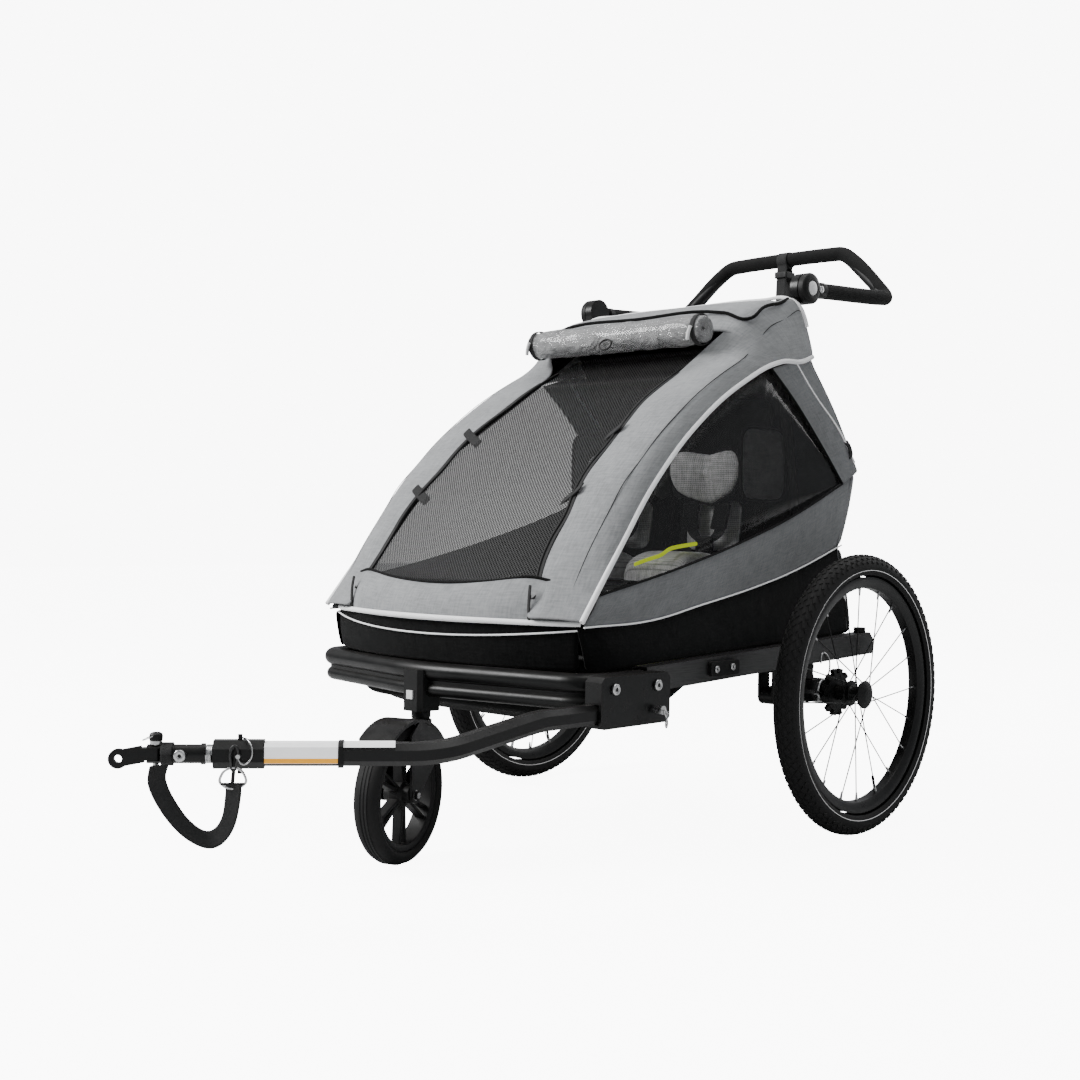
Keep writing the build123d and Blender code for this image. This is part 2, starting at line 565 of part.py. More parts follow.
def y_on(line, z):
    """Where a rising (y, z) line passes height z."""
    for (y0, z0), (y1, z1) in zip(line, line[1:]):
        if z0 <= z <= z1:
            return y0 + (y1 - y0) * (z - z0) / (z1 - z0)
    return line[-1][0]


def front_y(z):
    """The front of the canopy at its shoulder, at height z."""
    return y_on(SHOULDER, z)


def bow_at(z):
    """How far the middle of the front stands ahead of its edges."""
    return max(1.0, 28 * (1 - (z - 446) / 300))


wall_outline = SEAM_FRONT + REAR_EDGE[1:-2] + [(27, 866), (-8, 842)] + PIPING[-2::-1]
window_outline = WINDOW_FOOT + WINDOW_REAR[1:] + shifted(PIPING, 3, -14)[-3:0:-1]
side_panel = wall_plate(Polyline(*wall_outline, close=True)) - wall_plate(
    Polyline(*window_outline, close=True), -20, 40)
window = on_wall(side_plate(Polyline(*window_outline, close=True), -2, 1))
put("side_panels", *with_mirror(side_panel))
put("side_windows", *with_mirror(window))

side_flange = wall_plate(Polyline(*PIPING[1:], *shifted(SHOULDER, 36, 0)[-1:0:-1], close=True), -0.5)
flange_sections = []
for z in (447, 560, 690, 790, 868):
    edge, shoulder = reach_at(z) + 3, 264
    y_edge = front_y(z) - 0.35 * bow_at(z)
    wall = WALL_X - 0.06 * (z - WALL_Z)
    back = min(front_y(z) + 33, y_on(PIPING, z) - 6)
    corner = [(edge, y_edge), (shoulder, front_y(z)), (wall, back), (wall - 3, back + 3),
              (shoulder - 2, front_y(z) + 4), (edge, y_edge + 4)]
    flange_sections.append(Pos(0, 0, z) * make_face(Polyline(*corner, close=True)))
front_flange = loft(flange_sections, ruled=True)
put("hoop_sleeves", *with_mirror(side_flange, front_flange))

mesh_sections = []
for z in (449, 560, 690, 760, COVER_TOP):
    mesh_sections.append(bowed_face(front_y(z) - 0.3 * bow_at(z), reach_at(z), bow_at(z), 2, z))
put("front_mesh", loft(mesh_sections))

ROOF = [(-164, 900), (-138, 930), (-82, 958), (-6, 970)]
ROOF_HEM = [(-160, 866), (-125, 884), (-76, 910), (-18, 960)]
BROW = [(-250, 815), (-190, 872), (-167, 897)]
roof_top = side_plate(Polyline(*ROOF, *shifted(ROOF, 2, -4)[::-1], close=True), -232, 464)
brow = side_plate(Polyline(*BROW, *shifted(BROW, 2, -4)[::-1], close=True), -158, 316)
roof_side = loft([Plane.YZ.offset(x) * make_face(Polyline(*line, *shifted(line, 2, -4)[::-1], close=True))
                  for x, line in ((232.2, ROOF), (271, ROOF_HEM))], ruled=True)
put("roof_panel", roof_top, brow, roof_side, other_side(roof_side))

rear_line = [(6, 915)] + REAR_EDGE[-2:0:-1] + [(126, 362)]
put("rear_panel", side_plate(Polyline(*rear_line, *shifted(rear_line, -3.5, -1)[::-1], close=True), -268, 536))

ROLL_Y = -206.0
ROLL_Z = 896.5
ROLL_R = 26.0
put("rain_roll", rod((-236, ROLL_Y, ROLL_Z), (236, ROLL_Y, ROLL_Z), ROLL_R))


# ---------------------------------------------------------------- seats

BACK_LEAN = 7.8


def cushion():
    outline = Polyline((-300, 404), (-304, 446), (-285, 458), (-150, 466), (-62, 478), (-58, 404), close=True)
    return fillet(side_plate(outline, 10, 195).edges().filter_by(Axis.X), 6)


def backrest():
    outline = Polyline((-56, 482), (-34, 478), (22, 800), (0, 806), (-14, 790), close=True)
    return side_plate(outline, 10, 195)


def headrest():
    """Two wings that stand forward from the middle of the backrest."""
    plan = Polyline((14, -92), (22, -106), (108, -61), (194, -106), (202, -92), (114, -45), (102, -45), close=True)
    return extrude(Pos(0, 0, 600) * make_face(plan), amount=100)


def harness():
    """Two shoulder straps and a buckle in front of a backrest."""
    straps = [Pos(x, -49.5, 546) * Rot(-BACK_LEAN, 0, 0) * Box(25, 2, 92) for x in (72, 142)]
    return [*straps, block(87, 127, -70, -58, 500, 530)]


put("seat_cushions", *with_mirror(cushion()))
put("backrests", *with_mirror(backrest()))
put("headrests", *with_mirror(headrest()))
put("harnesses", *with_mirror(*harness()))
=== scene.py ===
import bpy, bmesh, math
from mathutils import Matrix, Vector, noise


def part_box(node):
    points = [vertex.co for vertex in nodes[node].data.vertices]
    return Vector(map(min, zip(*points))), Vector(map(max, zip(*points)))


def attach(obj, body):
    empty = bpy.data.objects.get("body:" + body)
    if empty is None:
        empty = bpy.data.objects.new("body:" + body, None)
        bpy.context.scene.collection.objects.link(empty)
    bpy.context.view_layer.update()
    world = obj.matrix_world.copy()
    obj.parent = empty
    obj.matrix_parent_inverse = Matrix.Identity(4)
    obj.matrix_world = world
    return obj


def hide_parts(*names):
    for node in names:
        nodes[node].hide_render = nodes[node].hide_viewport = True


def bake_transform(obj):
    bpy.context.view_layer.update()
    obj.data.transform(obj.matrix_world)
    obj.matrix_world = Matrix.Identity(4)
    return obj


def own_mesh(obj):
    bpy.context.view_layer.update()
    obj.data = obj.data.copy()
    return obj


# A child bicycle trailer: a grey canopy on a folding frame, spoked wheels, a towing arm and a push handle.

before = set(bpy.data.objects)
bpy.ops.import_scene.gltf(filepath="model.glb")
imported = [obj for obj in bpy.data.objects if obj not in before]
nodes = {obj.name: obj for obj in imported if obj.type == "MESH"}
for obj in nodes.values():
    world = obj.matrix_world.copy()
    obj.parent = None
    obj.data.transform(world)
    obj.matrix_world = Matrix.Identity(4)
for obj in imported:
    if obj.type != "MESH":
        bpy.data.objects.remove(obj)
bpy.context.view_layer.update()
tyreLow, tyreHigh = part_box("tyre_left")
axleY = (tyreLow[1] + tyreHigh[1]) / 2


def at(x, y, z):
    return Vector((x / 1000, y / 1000 + axleY, z / 1000))  # millimetres from the rear axle line


# camera first
cameraSet = {"place": (1.7886, -2.2908, 0.5402), "yaw": 43.497, "pitch": 0.5087, "roll": 0.8121,
             "lens": 48.87}


def makeCamera(s):
    yaw, pitch, roll = (math.radians(s[k]) for k in ("yaw", "pitch", "roll"))
    look = Vector((-math.sin(yaw) * math.cos(pitch), math.cos(yaw) * math.cos(pitch), -math.sin(pitch)))
    side = Vector((math.cos(yaw), math.sin(yaw), 0))
    up = side.cross(look)
    across = side * math.cos(roll) + up * math.sin(roll)
    above = up * math.cos(roll) - side * math.sin(roll)
    data = bpy.data.cameras.new("camera")
    data.lens = s["lens"]
    data.sensor_width = 36
    data.clip_start = 0.05
    cam = bpy.data.objects.new("camera", data)
    x, y, z = s["place"]
    cam.matrix_world = Matrix.Translation((x, y + axleY, z)) @ Matrix((across, above,
            -look)).transposed().to_4x4()
    bpy.context.collection.objects.link(cam)
    bpy.context.scene.camera = cam


makeCamera(cameraSet)
print("camera placed")

lightSet = {
    "key": {"place": (-2.4, -3.0, 3.2), "size": 2.4, "power": 400},
    "fill": {"place": (3.6, -1.4, 2.0), "size": 3.0, "power": 14},
    "top": {"place": (0.3, 0.6, 4.2), "size": 3.2, "power": 110},
    "back": {"place": (0.5, 4.2, 2.2), "size": 3.0, "power": 60},
}


def makeLights(s):
    for name, one in s.items():
        data = bpy.data.lights.new(name, "AREA")
        data.shape = "DISK"
        data.size = one["size"]
        data.energy = one["power"]
        lamp = bpy.data.objects.new(name, data)
        lamp.location = one["place"]
        lamp.rotation_euler = (Vector((0, 0, 0.45)) - lamp.location).to_track_quat("-Z", "Y").to_euler()
        bpy.context.collection.objects.link(lamp)


def addNode(tree, kind, sockets=(), **settings):
    node = tree.nodes.new("ShaderNode" + kind)
    for key, value in settings.items():
        setattr(node, key, value)
    for key, value in dict(sockets).items():
        if isinstance(value, bpy.types.NodeSocket):
            tree.links.new(value, node.inputs[key])
        else:
            node.inputs[key].default_value = value
    return node


def makeWorld():
    world = bpy.data.worlds.new("studio")
    bpy.context.scene.world = world
    world.use_nodes = True
    tree = world.node_tree
    tree.nodes.clear()
    path = addNode(tree, "LightPath")
    # painted shade: the white backdrop is far dimmer where it is seen through the window film or the net
    backdropShadeBehindFilm = addNode(tree, "MapRange", {"Value": path.outputs["Transparent Depth"], "From Min": 0.0,
                                        "From Max": 1.0,
                                        "To Min": 9.0, "To Max": 1.1})
    seen = addNode(tree, "Background", {"Color": (1, 1, 1, 1), "Strength": backdropShadeBehindFilm.outputs[0]})
    glow = addNode(tree, "Background", {"Color": (0.93, 0.96, 1, 1), "Strength": 0.4})
    mix = addNode(tree, "MixShader", {0: path.outputs["Is Camera Ray"], 1: glow.outputs[0],
                                      2: seen.outputs[0]})
    out = addNode(tree, "OutputWorld", {"Surface": mix.outputs[0]})
    out.is_active_output = True


makeLights(lightSet)
makeWorld()


def makeGroup(name, inputs, outputs):
    group = bpy.data.node_groups.new(name, "ShaderNodeTree")
    for label, kind, value in inputs:
        socket = group.interface.new_socket(label, in_out="INPUT", socket_type="NodeSocket" + kind)
        socket.default_value = value
    for label, kind in outputs:
        group.interface.new_socket(label, in_out="OUTPUT", socket_type="NodeSocket" + kind)
    start = group.nodes.new("NodeGroupInput")
    end = group.nodes.new("NodeGroupOutput")
    return group, start.outputs, end.inputs


def mixColours(tree, factor, dark, light, blend="MIX"):
    node = addNode(tree, "Mix", {0: factor, 6: dark, 7: light}, data_type="RGBA", blend_type=blend)
    return node.outputs[2]


def makeMottle():  # soft blotches between two colours, with their own roughness and relief
    group, given, put = makeGroup("mottle", [
        ("Vector", "Vector", (0, 0, 0)), ("Scale", "Float", 20.0), ("Dark", "Color", (0, 0, 0, 1)),
        ("Light", "Color", (1, 1, 1, 1)), ("Smooth", "Float", 0.3), ("Rough", "Float", 0.5)],
        [("Color", "Color"), ("Roughness", "Float"), ("Height", "Float")])
    wide = addNode(group, "TexNoise", {"Vector": given["Vector"], "Scale": given["Scale"], "Detail": 4.0})
    fineScale = addNode(group, "Math", {0: given["Scale"], 1: 11.0}, operation="MULTIPLY")
    fine = addNode(group, "TexNoise", {"Vector": given["Vector"], "Scale": fineScale.outputs[0],
                                       "Detail": 2.0})
    both = addNode(group, "Mix", {0: 0.4, 2: wide.outputs["Fac"], 3: fine.outputs["Fac"]})
    spread = addNode(group, "MapRange", {"Value": both.outputs[0], "From Min": 0.34, "From Max": 0.66})
    rough = addNode(group, "Mix", {0: spread.outputs[0], 2: given["Smooth"], 3: given["Rough"]})
    group.links.new(mixColours(group, spread.outputs[0], given["Dark"], given["Light"]), put["Color"])
    group.links.new(rough.outputs[0], put["Roughness"])
    group.links.new(fine.outputs["Fac"], put["Height"])
    return group


def makeWeave():  # crossed threads: Height for the relief, and a painted shade mask for the hollows between threads
    group, given, put = makeGroup("weave", [("Vector", "Vector", (0, 0, 0)), ("Threads", "Float", 900.0)],
                                  [("Height", "Float"), ("PitShade", "Float")])
    checks = addNode(group, "TexChecker", {"Vector": given["Vector"], "Scale": given["Threads"]})
    parts = addNode(group, "SeparateXYZ", {0: given["Vector"]})
    turns = addNode(group, "Math", {0: given["Threads"], 1: math.pi}, operation="MULTIPLY")
    ridges = []
    for axis in (0, 1):
        angle = addNode(group, "Math", {0: parts.outputs[axis], 1: turns.outputs[0]}, operation="MULTIPLY")
        wave = addNode(group, "Math", {0: angle.outputs[0]}, operation="SINE")
        ridges.append(addNode(group, "Math", {0: wave.outputs[0]}, operation="ABSOLUTE").outputs[0])
    height = addNode(group, "Mix", {0: checks.outputs["Fac"], 2: ridges[0], 3: ridges[1]})
    # where both ridges are low, between the threads, the mask gives painted shade
    product = addNode(group, "Math", {0: ridges[0], 1: ridges[1]}, operation="MULTIPLY")
    pitShade = addNode(group, "MapRange", {"Value": product.outputs[0], "From Min": 0.0, "From Max": 0.35,
                                      "To Min": 1.0, "To Max": 0.0})
    group.links.new(height.outputs[0], put["Height"])
    group.links.new(pitShade.outputs[0], put["PitShade"])
    return group


def makeMelange():  # yarn of mixed greys: short streaks along and across the cloth
    group, given, put = makeGroup("melange", [
        ("Vector", "Vector", (0, 0, 0)), ("Scale", "Float", 240.0),
        ("Dark", "Color", (0, 0, 0, 1)), ("Light", "Color", (1, 1, 1, 1))],
                                  [("Color", "Color"), ("Height", "Float")])
    streaks = []
    for stretch in ((1, 0.16, 1), (0.16, 1, 1)):
        place = addNode(group, "Mapping", {"Vector": given["Vector"], "Scale": stretch})
        streaks.append(addNode(group, "TexNoise", {"Vector": place.outputs[0], "Scale": given["Scale"],
                                                   "Detail": 2.0}).outputs["Fac"])
    both = addNode(group, "Mix", {0: 0.5, 2: streaks[0], 3: streaks[1]})
    broadScale = addNode(group, "Math", {0: given["Scale"], 1: 0.045}, operation="MULTIPLY")
    broad = addNode(group, "TexNoise", {"Vector": given["Vector"], "Scale": broadScale.outputs[0],
                                        "Detail": 3.0})
    allNoise = addNode(group, "Mix", {0: 0.3, 2: both.outputs[0], 3: broad.outputs["Fac"]})
    spread = addNode(group, "MapRange", {"Value": allNoise.outputs[0], "From Min": 0.38, "From Max": 0.62})
    group.links.new(mixColours(group, spread.outputs[0], given["Dark"], given["Light"]), put["Color"])
    group.links.new(both.outputs[0], put["Height"])
    return group


def makeDust():  # a faint mask of settled dust on what faces up
    group, given, put = makeGroup("dust", [("Vector", "Vector", (0, 0, 0)), ("Amount", "Float", 0.2)],
                                  [("Mask", "Float")])
    shape = addNode(group, "NewGeometry")
    parts = addNode(group, "SeparateXYZ", {0: shape.outputs["Normal"]})
    upward = addNode(group, "MapRange", {"Value": parts.outputs[2], "From Min": 0.1, "From Max": 1.0})
    cloud = addNode(group, "TexNoise", {"Vector": given["Vector"], "Scale": 38.0, "Detail": 5.0})
    first = addNode(group, "Math", {0: upward.outputs[0], 1: cloud.outputs["Fac"]}, operation="MULTIPLY")
    mask = addNode(group, "Math", {0: first.outputs[0], 1: given["Amount"]}, operation="MULTIPLY")
    group.links.new(mask.outputs[0], put["Mask"])
    return group


groups = {"mottle": makeMottle(), "weave": makeWeave(), "melange": makeMelange(), "dust": makeDust()}


def useGroup(tree, name, sockets):
    node = tree.nodes.new("ShaderNodeGroup")
    node.node_tree = groups[name]
    for key, value in sockets.items():
        if isinstance(value, bpy.types.NodeSocket):
            tree.links.new(value, node.inputs[key])
        else:
            node.inputs[key].default_value = value
    return node.outputs


def grey(value, warm=0.0):
    return (value * (1 + warm), value, value * (1 - warm), 1)


def startMaterial(name, onUv=False, **plain):
    mat = bpy.data.materials.new(name)
    mat.use_nodes = True
    tree = mat.node_tree
    shader = tree.nodes["Principled BSDF"]
    for key, value in plain.items():
        shader.inputs[key.replace("_", " ")].default_value = value
    coords = addNode(tree, "TexCoord").outputs["UV" if onUv else "Object"]
    return mat, tree, shader.inputs, coords


def addRelief(tree, shader, heights):
    normal = None
    for height, strength, distance in heights:
        sockets = {"Height": height, "Strength": strength, "Distance": distance}
        if normal:
            sockets["Normal"] = normal
        normal = addNode(tree, "Bump", sockets).outputs[0]
    tree.links.new(normal, shader["Normal"])


def hardFinish(name, dark, light, smooth, rough, scale=30.0, relief=(0.12, 0.0004), dust=0.12, **plain):
    mat, tree, shader, coords = startMaterial(name, **plain)
    if smooth > 0.35 and light[0] < 0.1:
        shader["Specular IOR Level"].default_value = 0.22
    mottle = useGroup(tree, "mottle", {"Vector": coords, "Scale": scale, "Dark": dark, "Light": light,
                                       "Smooth": smooth, "Rough": rough})
    mask = useGroup(tree, "dust", {"Vector": coords, "Amount": dust})["Mask"]
    tree.links.new(mixColours(tree, mask, mottle["Color"], grey(0.16, 0.05)), shader["Base Color"])
    tree.links.new(mottle["Roughness"], shader["Roughness"])
    addRelief(tree, shader, [(mottle["Height"], *relief)])
    return mat


def brushedMetal(name, dark, light, smooth, rough, stretch=(60, 3, 60)):
    mat, tree, shader, coords = startMaterial(name, Metallic=1.0)
    place = addNode(tree, "Mapping", {"Vector": coords, "Scale": stretch})
    mottle = useGroup(tree, "mottle", {"Vector": place.outputs[0], "Scale": 9.0, "Dark": dark, "Light": light,
                                       "Smooth": smooth, "Rough": rough})
    tree.links.new(mottle["Color"], shader["Base Color"])
    tree.links.new(mottle["Roughness"], shader["Roughness"])
    addRelief(tree, shader, [(mottle["Height"], 0.1, 0.0002)])
    return mat


def cloth(name, dark, light, threads, onUv=True, streaks=260.0, rough=0.86, relief=0.5, sheen=0.12,
          creases=0.25, pitShadeAmount=0.32):
    mat, tree, shader, coords = startMaterial(name, onUv, Roughness=rough)
    shader["Specular IOR Level"].default_value = 0.15 if light[0] > 0.05 else 0.04
    shader["Sheen Weight"].default_value = sheen
    shader["Sheen Roughness"].default_value = 0.45
    melange = useGroup(tree, "melange", {"Vector": coords, "Scale": streaks, "Dark": dark, "Light": light})
    weave = useGroup(tree, "weave", {"Vector": coords, "Threads": threads})
    # painted shade: the hollows between threads are mixed towards a darker grey
    shade = addNode(tree, "Math", {0: weave["PitShade"], 1: pitShadeAmount}, operation="MULTIPLY")
    tree.links.new(mixColours(tree, shade.outputs[0], melange["Color"], grey(dark[0] * 0.35)),
                   shader["Base Color"])
    creaseNoise = addNode(tree, "TexNoise", {"Vector": coords, "Scale": 13.0, "Detail": 3.0,
                                             "Distortion": 0.6})
    addRelief(tree, shader, [(weave["Height"], relief, 0.0005), (creaseNoise.outputs["Fac"], creases, 0.012)])
    return mat


def net(name, dark, light, pitch, share, rough=0.7):  # threads round open holes, each a share of the pitch
    mat, tree, shader, coords = startMaterial(name, True, Roughness=rough)
    turned = addNode(tree, "Mapping", {"Vector": coords, "Rotation": (0, 0, math.radians(45))})
    holes = addNode(tree, "TexVoronoi", {"Vector": turned.outputs[0], "Scale": 1 / pitch, "Randomness": 0.0},
                    voronoi_dimensions="2D")
    edge = addNode(tree, "MapRange", {"Value": holes.outputs["Distance"], "From Min": share - 0.04,
                                      "From Max": share + 0.04})
    melange = useGroup(tree, "melange", {"Vector": coords, "Scale": 200.0, "Dark": dark, "Light": light})
    tree.links.new(melange["Color"], shader["Base Color"])
    tree.links.new(edge.outputs[0], shader["Alpha"])
    addRelief(tree, shader, [(holes.outputs["Distance"], 0.4, 0.0006)])
    return mat


def film(name, colour, alpha, rough, crumple, gloss, **plain):
    mat, tree, shader, coords = startMaterial(name, False, Alpha=alpha, **plain)
    shader["Coat Weight"].default_value = gloss
    shader["Coat Roughness"].default_value = rough
    mottle = useGroup(tree, "mottle", {"Vector": coords, "Scale": 16.0, "Dark": colour,
                                       "Light": tuple(min(1, c * 1.5) for c in colour[:3]) + (1,),
                                       "Smooth": rough, "Rough": rough * 1.8})
    tree.links.new(mottle["Color"], shader["Base Color"])
    tree.links.new(mottle["Roughness"], shader["Roughness"])
    folds = addNode(tree, "TexNoise", {"Vector": coords, "Scale": 24.0, "Detail": 5.0, "Distortion": 1.6})
    addRelief(tree, shader, [(folds.outputs["Fac"], crumple, 0.02)])
    return mat


def belting(name, dark, light, rough=0.75):  # webbing: a rib every 1.4 mm along its own length
    mat, tree, shader, coords = startMaterial(name, True, Roughness=rough)
    weave = useGroup(tree, "weave", {"Vector": coords, "Threads": 720.0})
    melange = useGroup(tree, "melange", {"Vector": coords, "Scale": 420.0, "Dark": dark, "Light": light})
    # painted shade: the hollows between the ribs are mixed towards near-black
    shade = addNode(tree, "Math", {0: weave["PitShade"], 1: 0.5}, operation="MULTIPLY")
    tree.links.new(mixColours(tree, shade.outputs[0], melange["Color"], grey(0.004)), shader["Base Color"])
    addRelief(tree, shader, [(weave["Height"], 0.7, 0.0006)])
    return mat


mats = {
    "bumper": hardFinish("glossyBumper", grey(0.0012), grey(0.0025), 0.3, 0.42, 22, Specular_IOR_Level=0.2),
    "paint": hardFinish("blackPaint", grey(0.0015), grey(0.0035), 0.26, 0.42, 40, Specular_IOR_Level=0.25),
    "plastic": hardFinish("mouldedPlastic", grey(0.002), grey(0.005), 0.4, 0.6, 60, (0.25, 0.0005)),
    "matteTube": hardFinish("powderCoat", grey(0.003), grey(0.006), 0.45, 0.6, 70, (0.3, 0.0004)),
    "rail": brushedMetal("anodisedRail", grey(0.05), grey(0.09), 0.34, 0.5),
    "steel": brushedMetal("turnedSteel", grey(0.42), grey(0.62), 0.16, 0.34, (90, 90, 6)),
    "darkSteel": brushedMetal("blackenedSteel", grey(0.03), grey(0.07), 0.25, 0.45),
    "foam": hardFinish("handleFoam", grey(0.0025), grey(0.005), 0.8, 0.95, 120, (0.6, 0.0009), 0.05),
    "tyre": hardFinish("tyreRubber", grey(0.003), grey(0.008), 0.6, 0.82, 26, (0.35, 0.0007), 0.14),
    "elastomer": hardFinish("rubberBlock", grey(0.015), grey(0.025), 0.6, 0.75, 50, (0.3, 0.0006)),
    "white": hardFinish("whitePlastic", grey(0.62), grey(0.74), 0.3, 0.42, 50, (0.1, 0.0002), 0.05),
    # the white and amber tapes and the neon ribbon carry a painted glow: an emission that makes them brighter
    # than the lamps alone would
    "reflector": hardFinish("reflectiveTape", grey(0.84), grey(0.93), 0.34, 0.5, 90, (0.3, 0.0003), 0.1,
                            Emission_Color=grey(1.0), Emission_Strength=0.5),
    "amber": hardFinish("amberTape", (0.8, 0.34, 0.01, 1), (0.9, 0.42, 0.02, 1), 0.35, 0.5, 90, (0.3, 0.0003),
                        0.05,
                        Emission_Color=(1, 0.42, 0.01, 1), Emission_Strength=0.35),
    "neon": hardFinish("neonRibbon", (0.6, 0.75, 0.0, 1), (0.75, 0.9, 0.02, 1), 0.5, 0.65, 90, (0.4, 0.0004),
                       0.05, Emission_Color=(0.8, 1, 0, 1), Emission_Strength=0.9),
    "canopy": cloth("greyCanopy", grey(0.215, -0.02), grey(0.315, -0.02), 900.0),
    # a darker copy of the same grey canopy cloth: painted shade for the side bands, rear bands and rear flap
    "canopyPaintedShade": cloth("greyCanopyPaintedShade", grey(0.13, -0.03), grey(0.195, -0.03), 900.0),
    "skirt": cloth("blackSkirt", grey(0.002), grey(0.006), 800.0, sheen=0.05, creases=0.35),
    "tub": cloth("blackTub", grey(0.002), grey(0.006), 800.0, False, sheen=0.04),
    "bolster": cloth("bolsterFabric", grey(0.1), grey(0.16), 700.0, True),
    "piping": cloth("whitePiping", grey(0.86), grey(0.97), 1200.0, False, 500.0, 0.5, 0.25, 0.0, 0.1),
    "cord": cloth("blackEdging", grey(0.003), grey(0.008), 1300.0, False, 600.0, 0.7, 0.5, 0.05, 0.05),
    "frontNet": net("insectNet", grey(0.003), grey(0.007), 0.0042, 0.42),
    "seatNet": cloth("seatMesh", grey(0.5), grey(0.9), 260.0, True, 150.0, 0.8, 0.9, 0.1, 0.3, 0.85),
    "seatEdge": cloth("seatBinding", grey(0.004), grey(0.01), 900.0, True),
    "window": film("tintedWindow", grey(0.003), 0.34, 0.12, 0.05, 0.12),
    "rainFilm": film("rainFilm", grey(0.30), 0.4, 0.05, 1.0, 0.5),
    "lining": cloth("darkLining", grey(0.002), grey(0.005), 700.0, True, sheen=0.03),
    "webbing": belting("blackWebbing", grey(0.003), grey(0.009)),
}


def dress(mat, *names):
    for name in names:
        slots = nodes[name].material_slots
        if not slots:
            nodes[name].data.materials.append(mats[mat])
        for one in slots:
            one.material = mats[mat]


print("materials made")


floorGlow = 9.0


def makeFloor():
    mesh = bpy.data.meshes.new("floor")
    wide = 14.0
    mesh.from_pydata([(-wide, -wide, 0), (wide, -wide, 0), (wide, wide, 0), (-wide, wide, 0)], [],
                     [(0, 1, 2, 3)])
    floor = bpy.data.objects.new("floor", mesh)
    bpy.context.collection.objects.link(floor)
    mat, tree, shader = startMaterial("paleFloor", Roughness=0.9)[:3]
    shader["Base Color"].default_value = grey(0.6)
    shader["Emission Color"].default_value = grey(1.0)
    path = addNode(tree, "LightPath")
    # painted shade: the floor's glow is dimmed where it is seen through the window film or the net
    clear = addNode(tree, "MapRange", {"Value": path.outputs["Transparent Depth"], "From Min": 0.0,
                                       "From Max": 1.0,
                                       "To Min": floorGlow, "To Max": 0.4})
    bright = addNode(tree, "Math", {0: path.outputs["Is Camera Ray"], 1: clear.outputs[0]},
                     operation="MULTIPLY")
    tree.links.new(bright.outputs[0], shader["Emission Strength"])
    mesh.materials.append(mat)


makeFloor()
def spread(line, count):  # count points, evenly spaced along a line of points
    lengths = [0.0]
    for a, b in zip(line, line[1:]):
        lengths.append(lengths[-1] + (b - a).length)
    found = []
    k = 0
    for i in range(count):
        want = lengths[-1] * i / (count - 1)
        while k < len(line) - 2 and lengths[k + 1] < want:
            k += 1
        span = max(1e-9, lengths[k + 1] - lengths[k])
        found.append(line[k].lerp(line[k + 1], (want - lengths[k]) / span))
    return found


def smoothLine(points, count):  # a curve through the points
    p = [Vector(q) for q in points]
    ends = [p[0] * 2 - p[1]] + p + [p[-1] * 2 - p[-2]]
    fine = []
    for a, b, c, d in zip(ends, ends[1:], ends[2:], ends[3:]):
        bend = a * 2 - b * 5 + c * 4 - d
        twist = b * 3 - a - c * 3 + d
        for k in range(10):
            t = k / 10
            fine.append((b * 2 + (c - a) * t + bend * t * t + twist * t ** 3) / 2)
    return spread(fine + [p[-1]], count)


def addObject(name, mesh, mat=None):
    obj = bpy.data.objects.new(name, mesh)
    bpy.context.collection.objects.link(obj)
    if mat:
        mesh.materials.append(mats[mat])
    return obj


def settle(obj):  # make the modifier stack part of the mesh
    bpy.context.view_layer.update()
    shape = bpy.data.meshes.new_from_object(obj.evaluated_get(bpy.context.evaluated_depsgraph_get()))
    obj.modifiers.clear()
    obj.data = shape
    return obj


def modify(obj, kind, **settings):
    step = obj.modifiers.new(kind.lower(), kind)
    for key, value in settings.items():
        setattr(step, key, value)
    return step


def subdivide(obj, levels=2):
    modify(obj, "SUBSURF", levels=levels, render_levels=levels)


def recalculate(obj):
    bm = bmesh.new()
    bm.from_mesh(obj.data)
    bmesh.ops.recalc_face_normals(bm, faces=bm.faces)
    bm.to_mesh(obj.data)
    bm.free()


def clothGrid(name, rows, mat, thick=0.0016, levels=2, flip=False, wave=0.0):
    # rows of points in millimetres; the cloth's own UV is in metres
    pts = [[at(*p) for p in row] for row in rows]
    m, n = len(pts), len(pts[0])
    verts = [p for row in pts for p in row]
    faces = []
    for i in range(m - 1):
        for j in range(n - 1):
            a = i * n + j
            faces.append((a, a + 1, a + n + 1, a + n) if not flip else (a, a + n, a + n + 1, a + 1))
    mesh = bpy.data.meshes.new(name)
    mesh.from_pydata(verts, [], faces)
    along = [0.0]
    for i in range(1, m):
        along.append(along[-1] + sum((pts[i][j] - pts[i - 1][j]).length for j in range(n)) / n)
    uvs = []
    for row, v in zip(pts, along):
        u = 0.0
        line = [(0.0, v)]
        for a, b in zip(row, row[1:]):
            u += (b - a).length
            line.append((u, v))
        middle = u / 2
        uvs += [(x - middle, y) for x, y in line]
    layer = mesh.uv_layers.new(name="cloth")
    for loop in mesh.loops:
        layer.data[loop.index].uv = uvs[loop.vertex_index]
    for poly in mesh.polygons:
        poly.use_smooth = True
    obj = addObject(name, mesh, mat)
    if wave:
        for v in mesh.vertices:
            ripple = noise.noise(v.co * 9.0) + 0.5 * noise.noise(v.co * 23.0)
            v.co += Vector((0.3, -1, 0.4)).normalized() * wave * ripple
    subdivide(obj, levels)
    modify(obj, "SOLIDIFY", thickness=thick, offset=-1.0)
    return obj


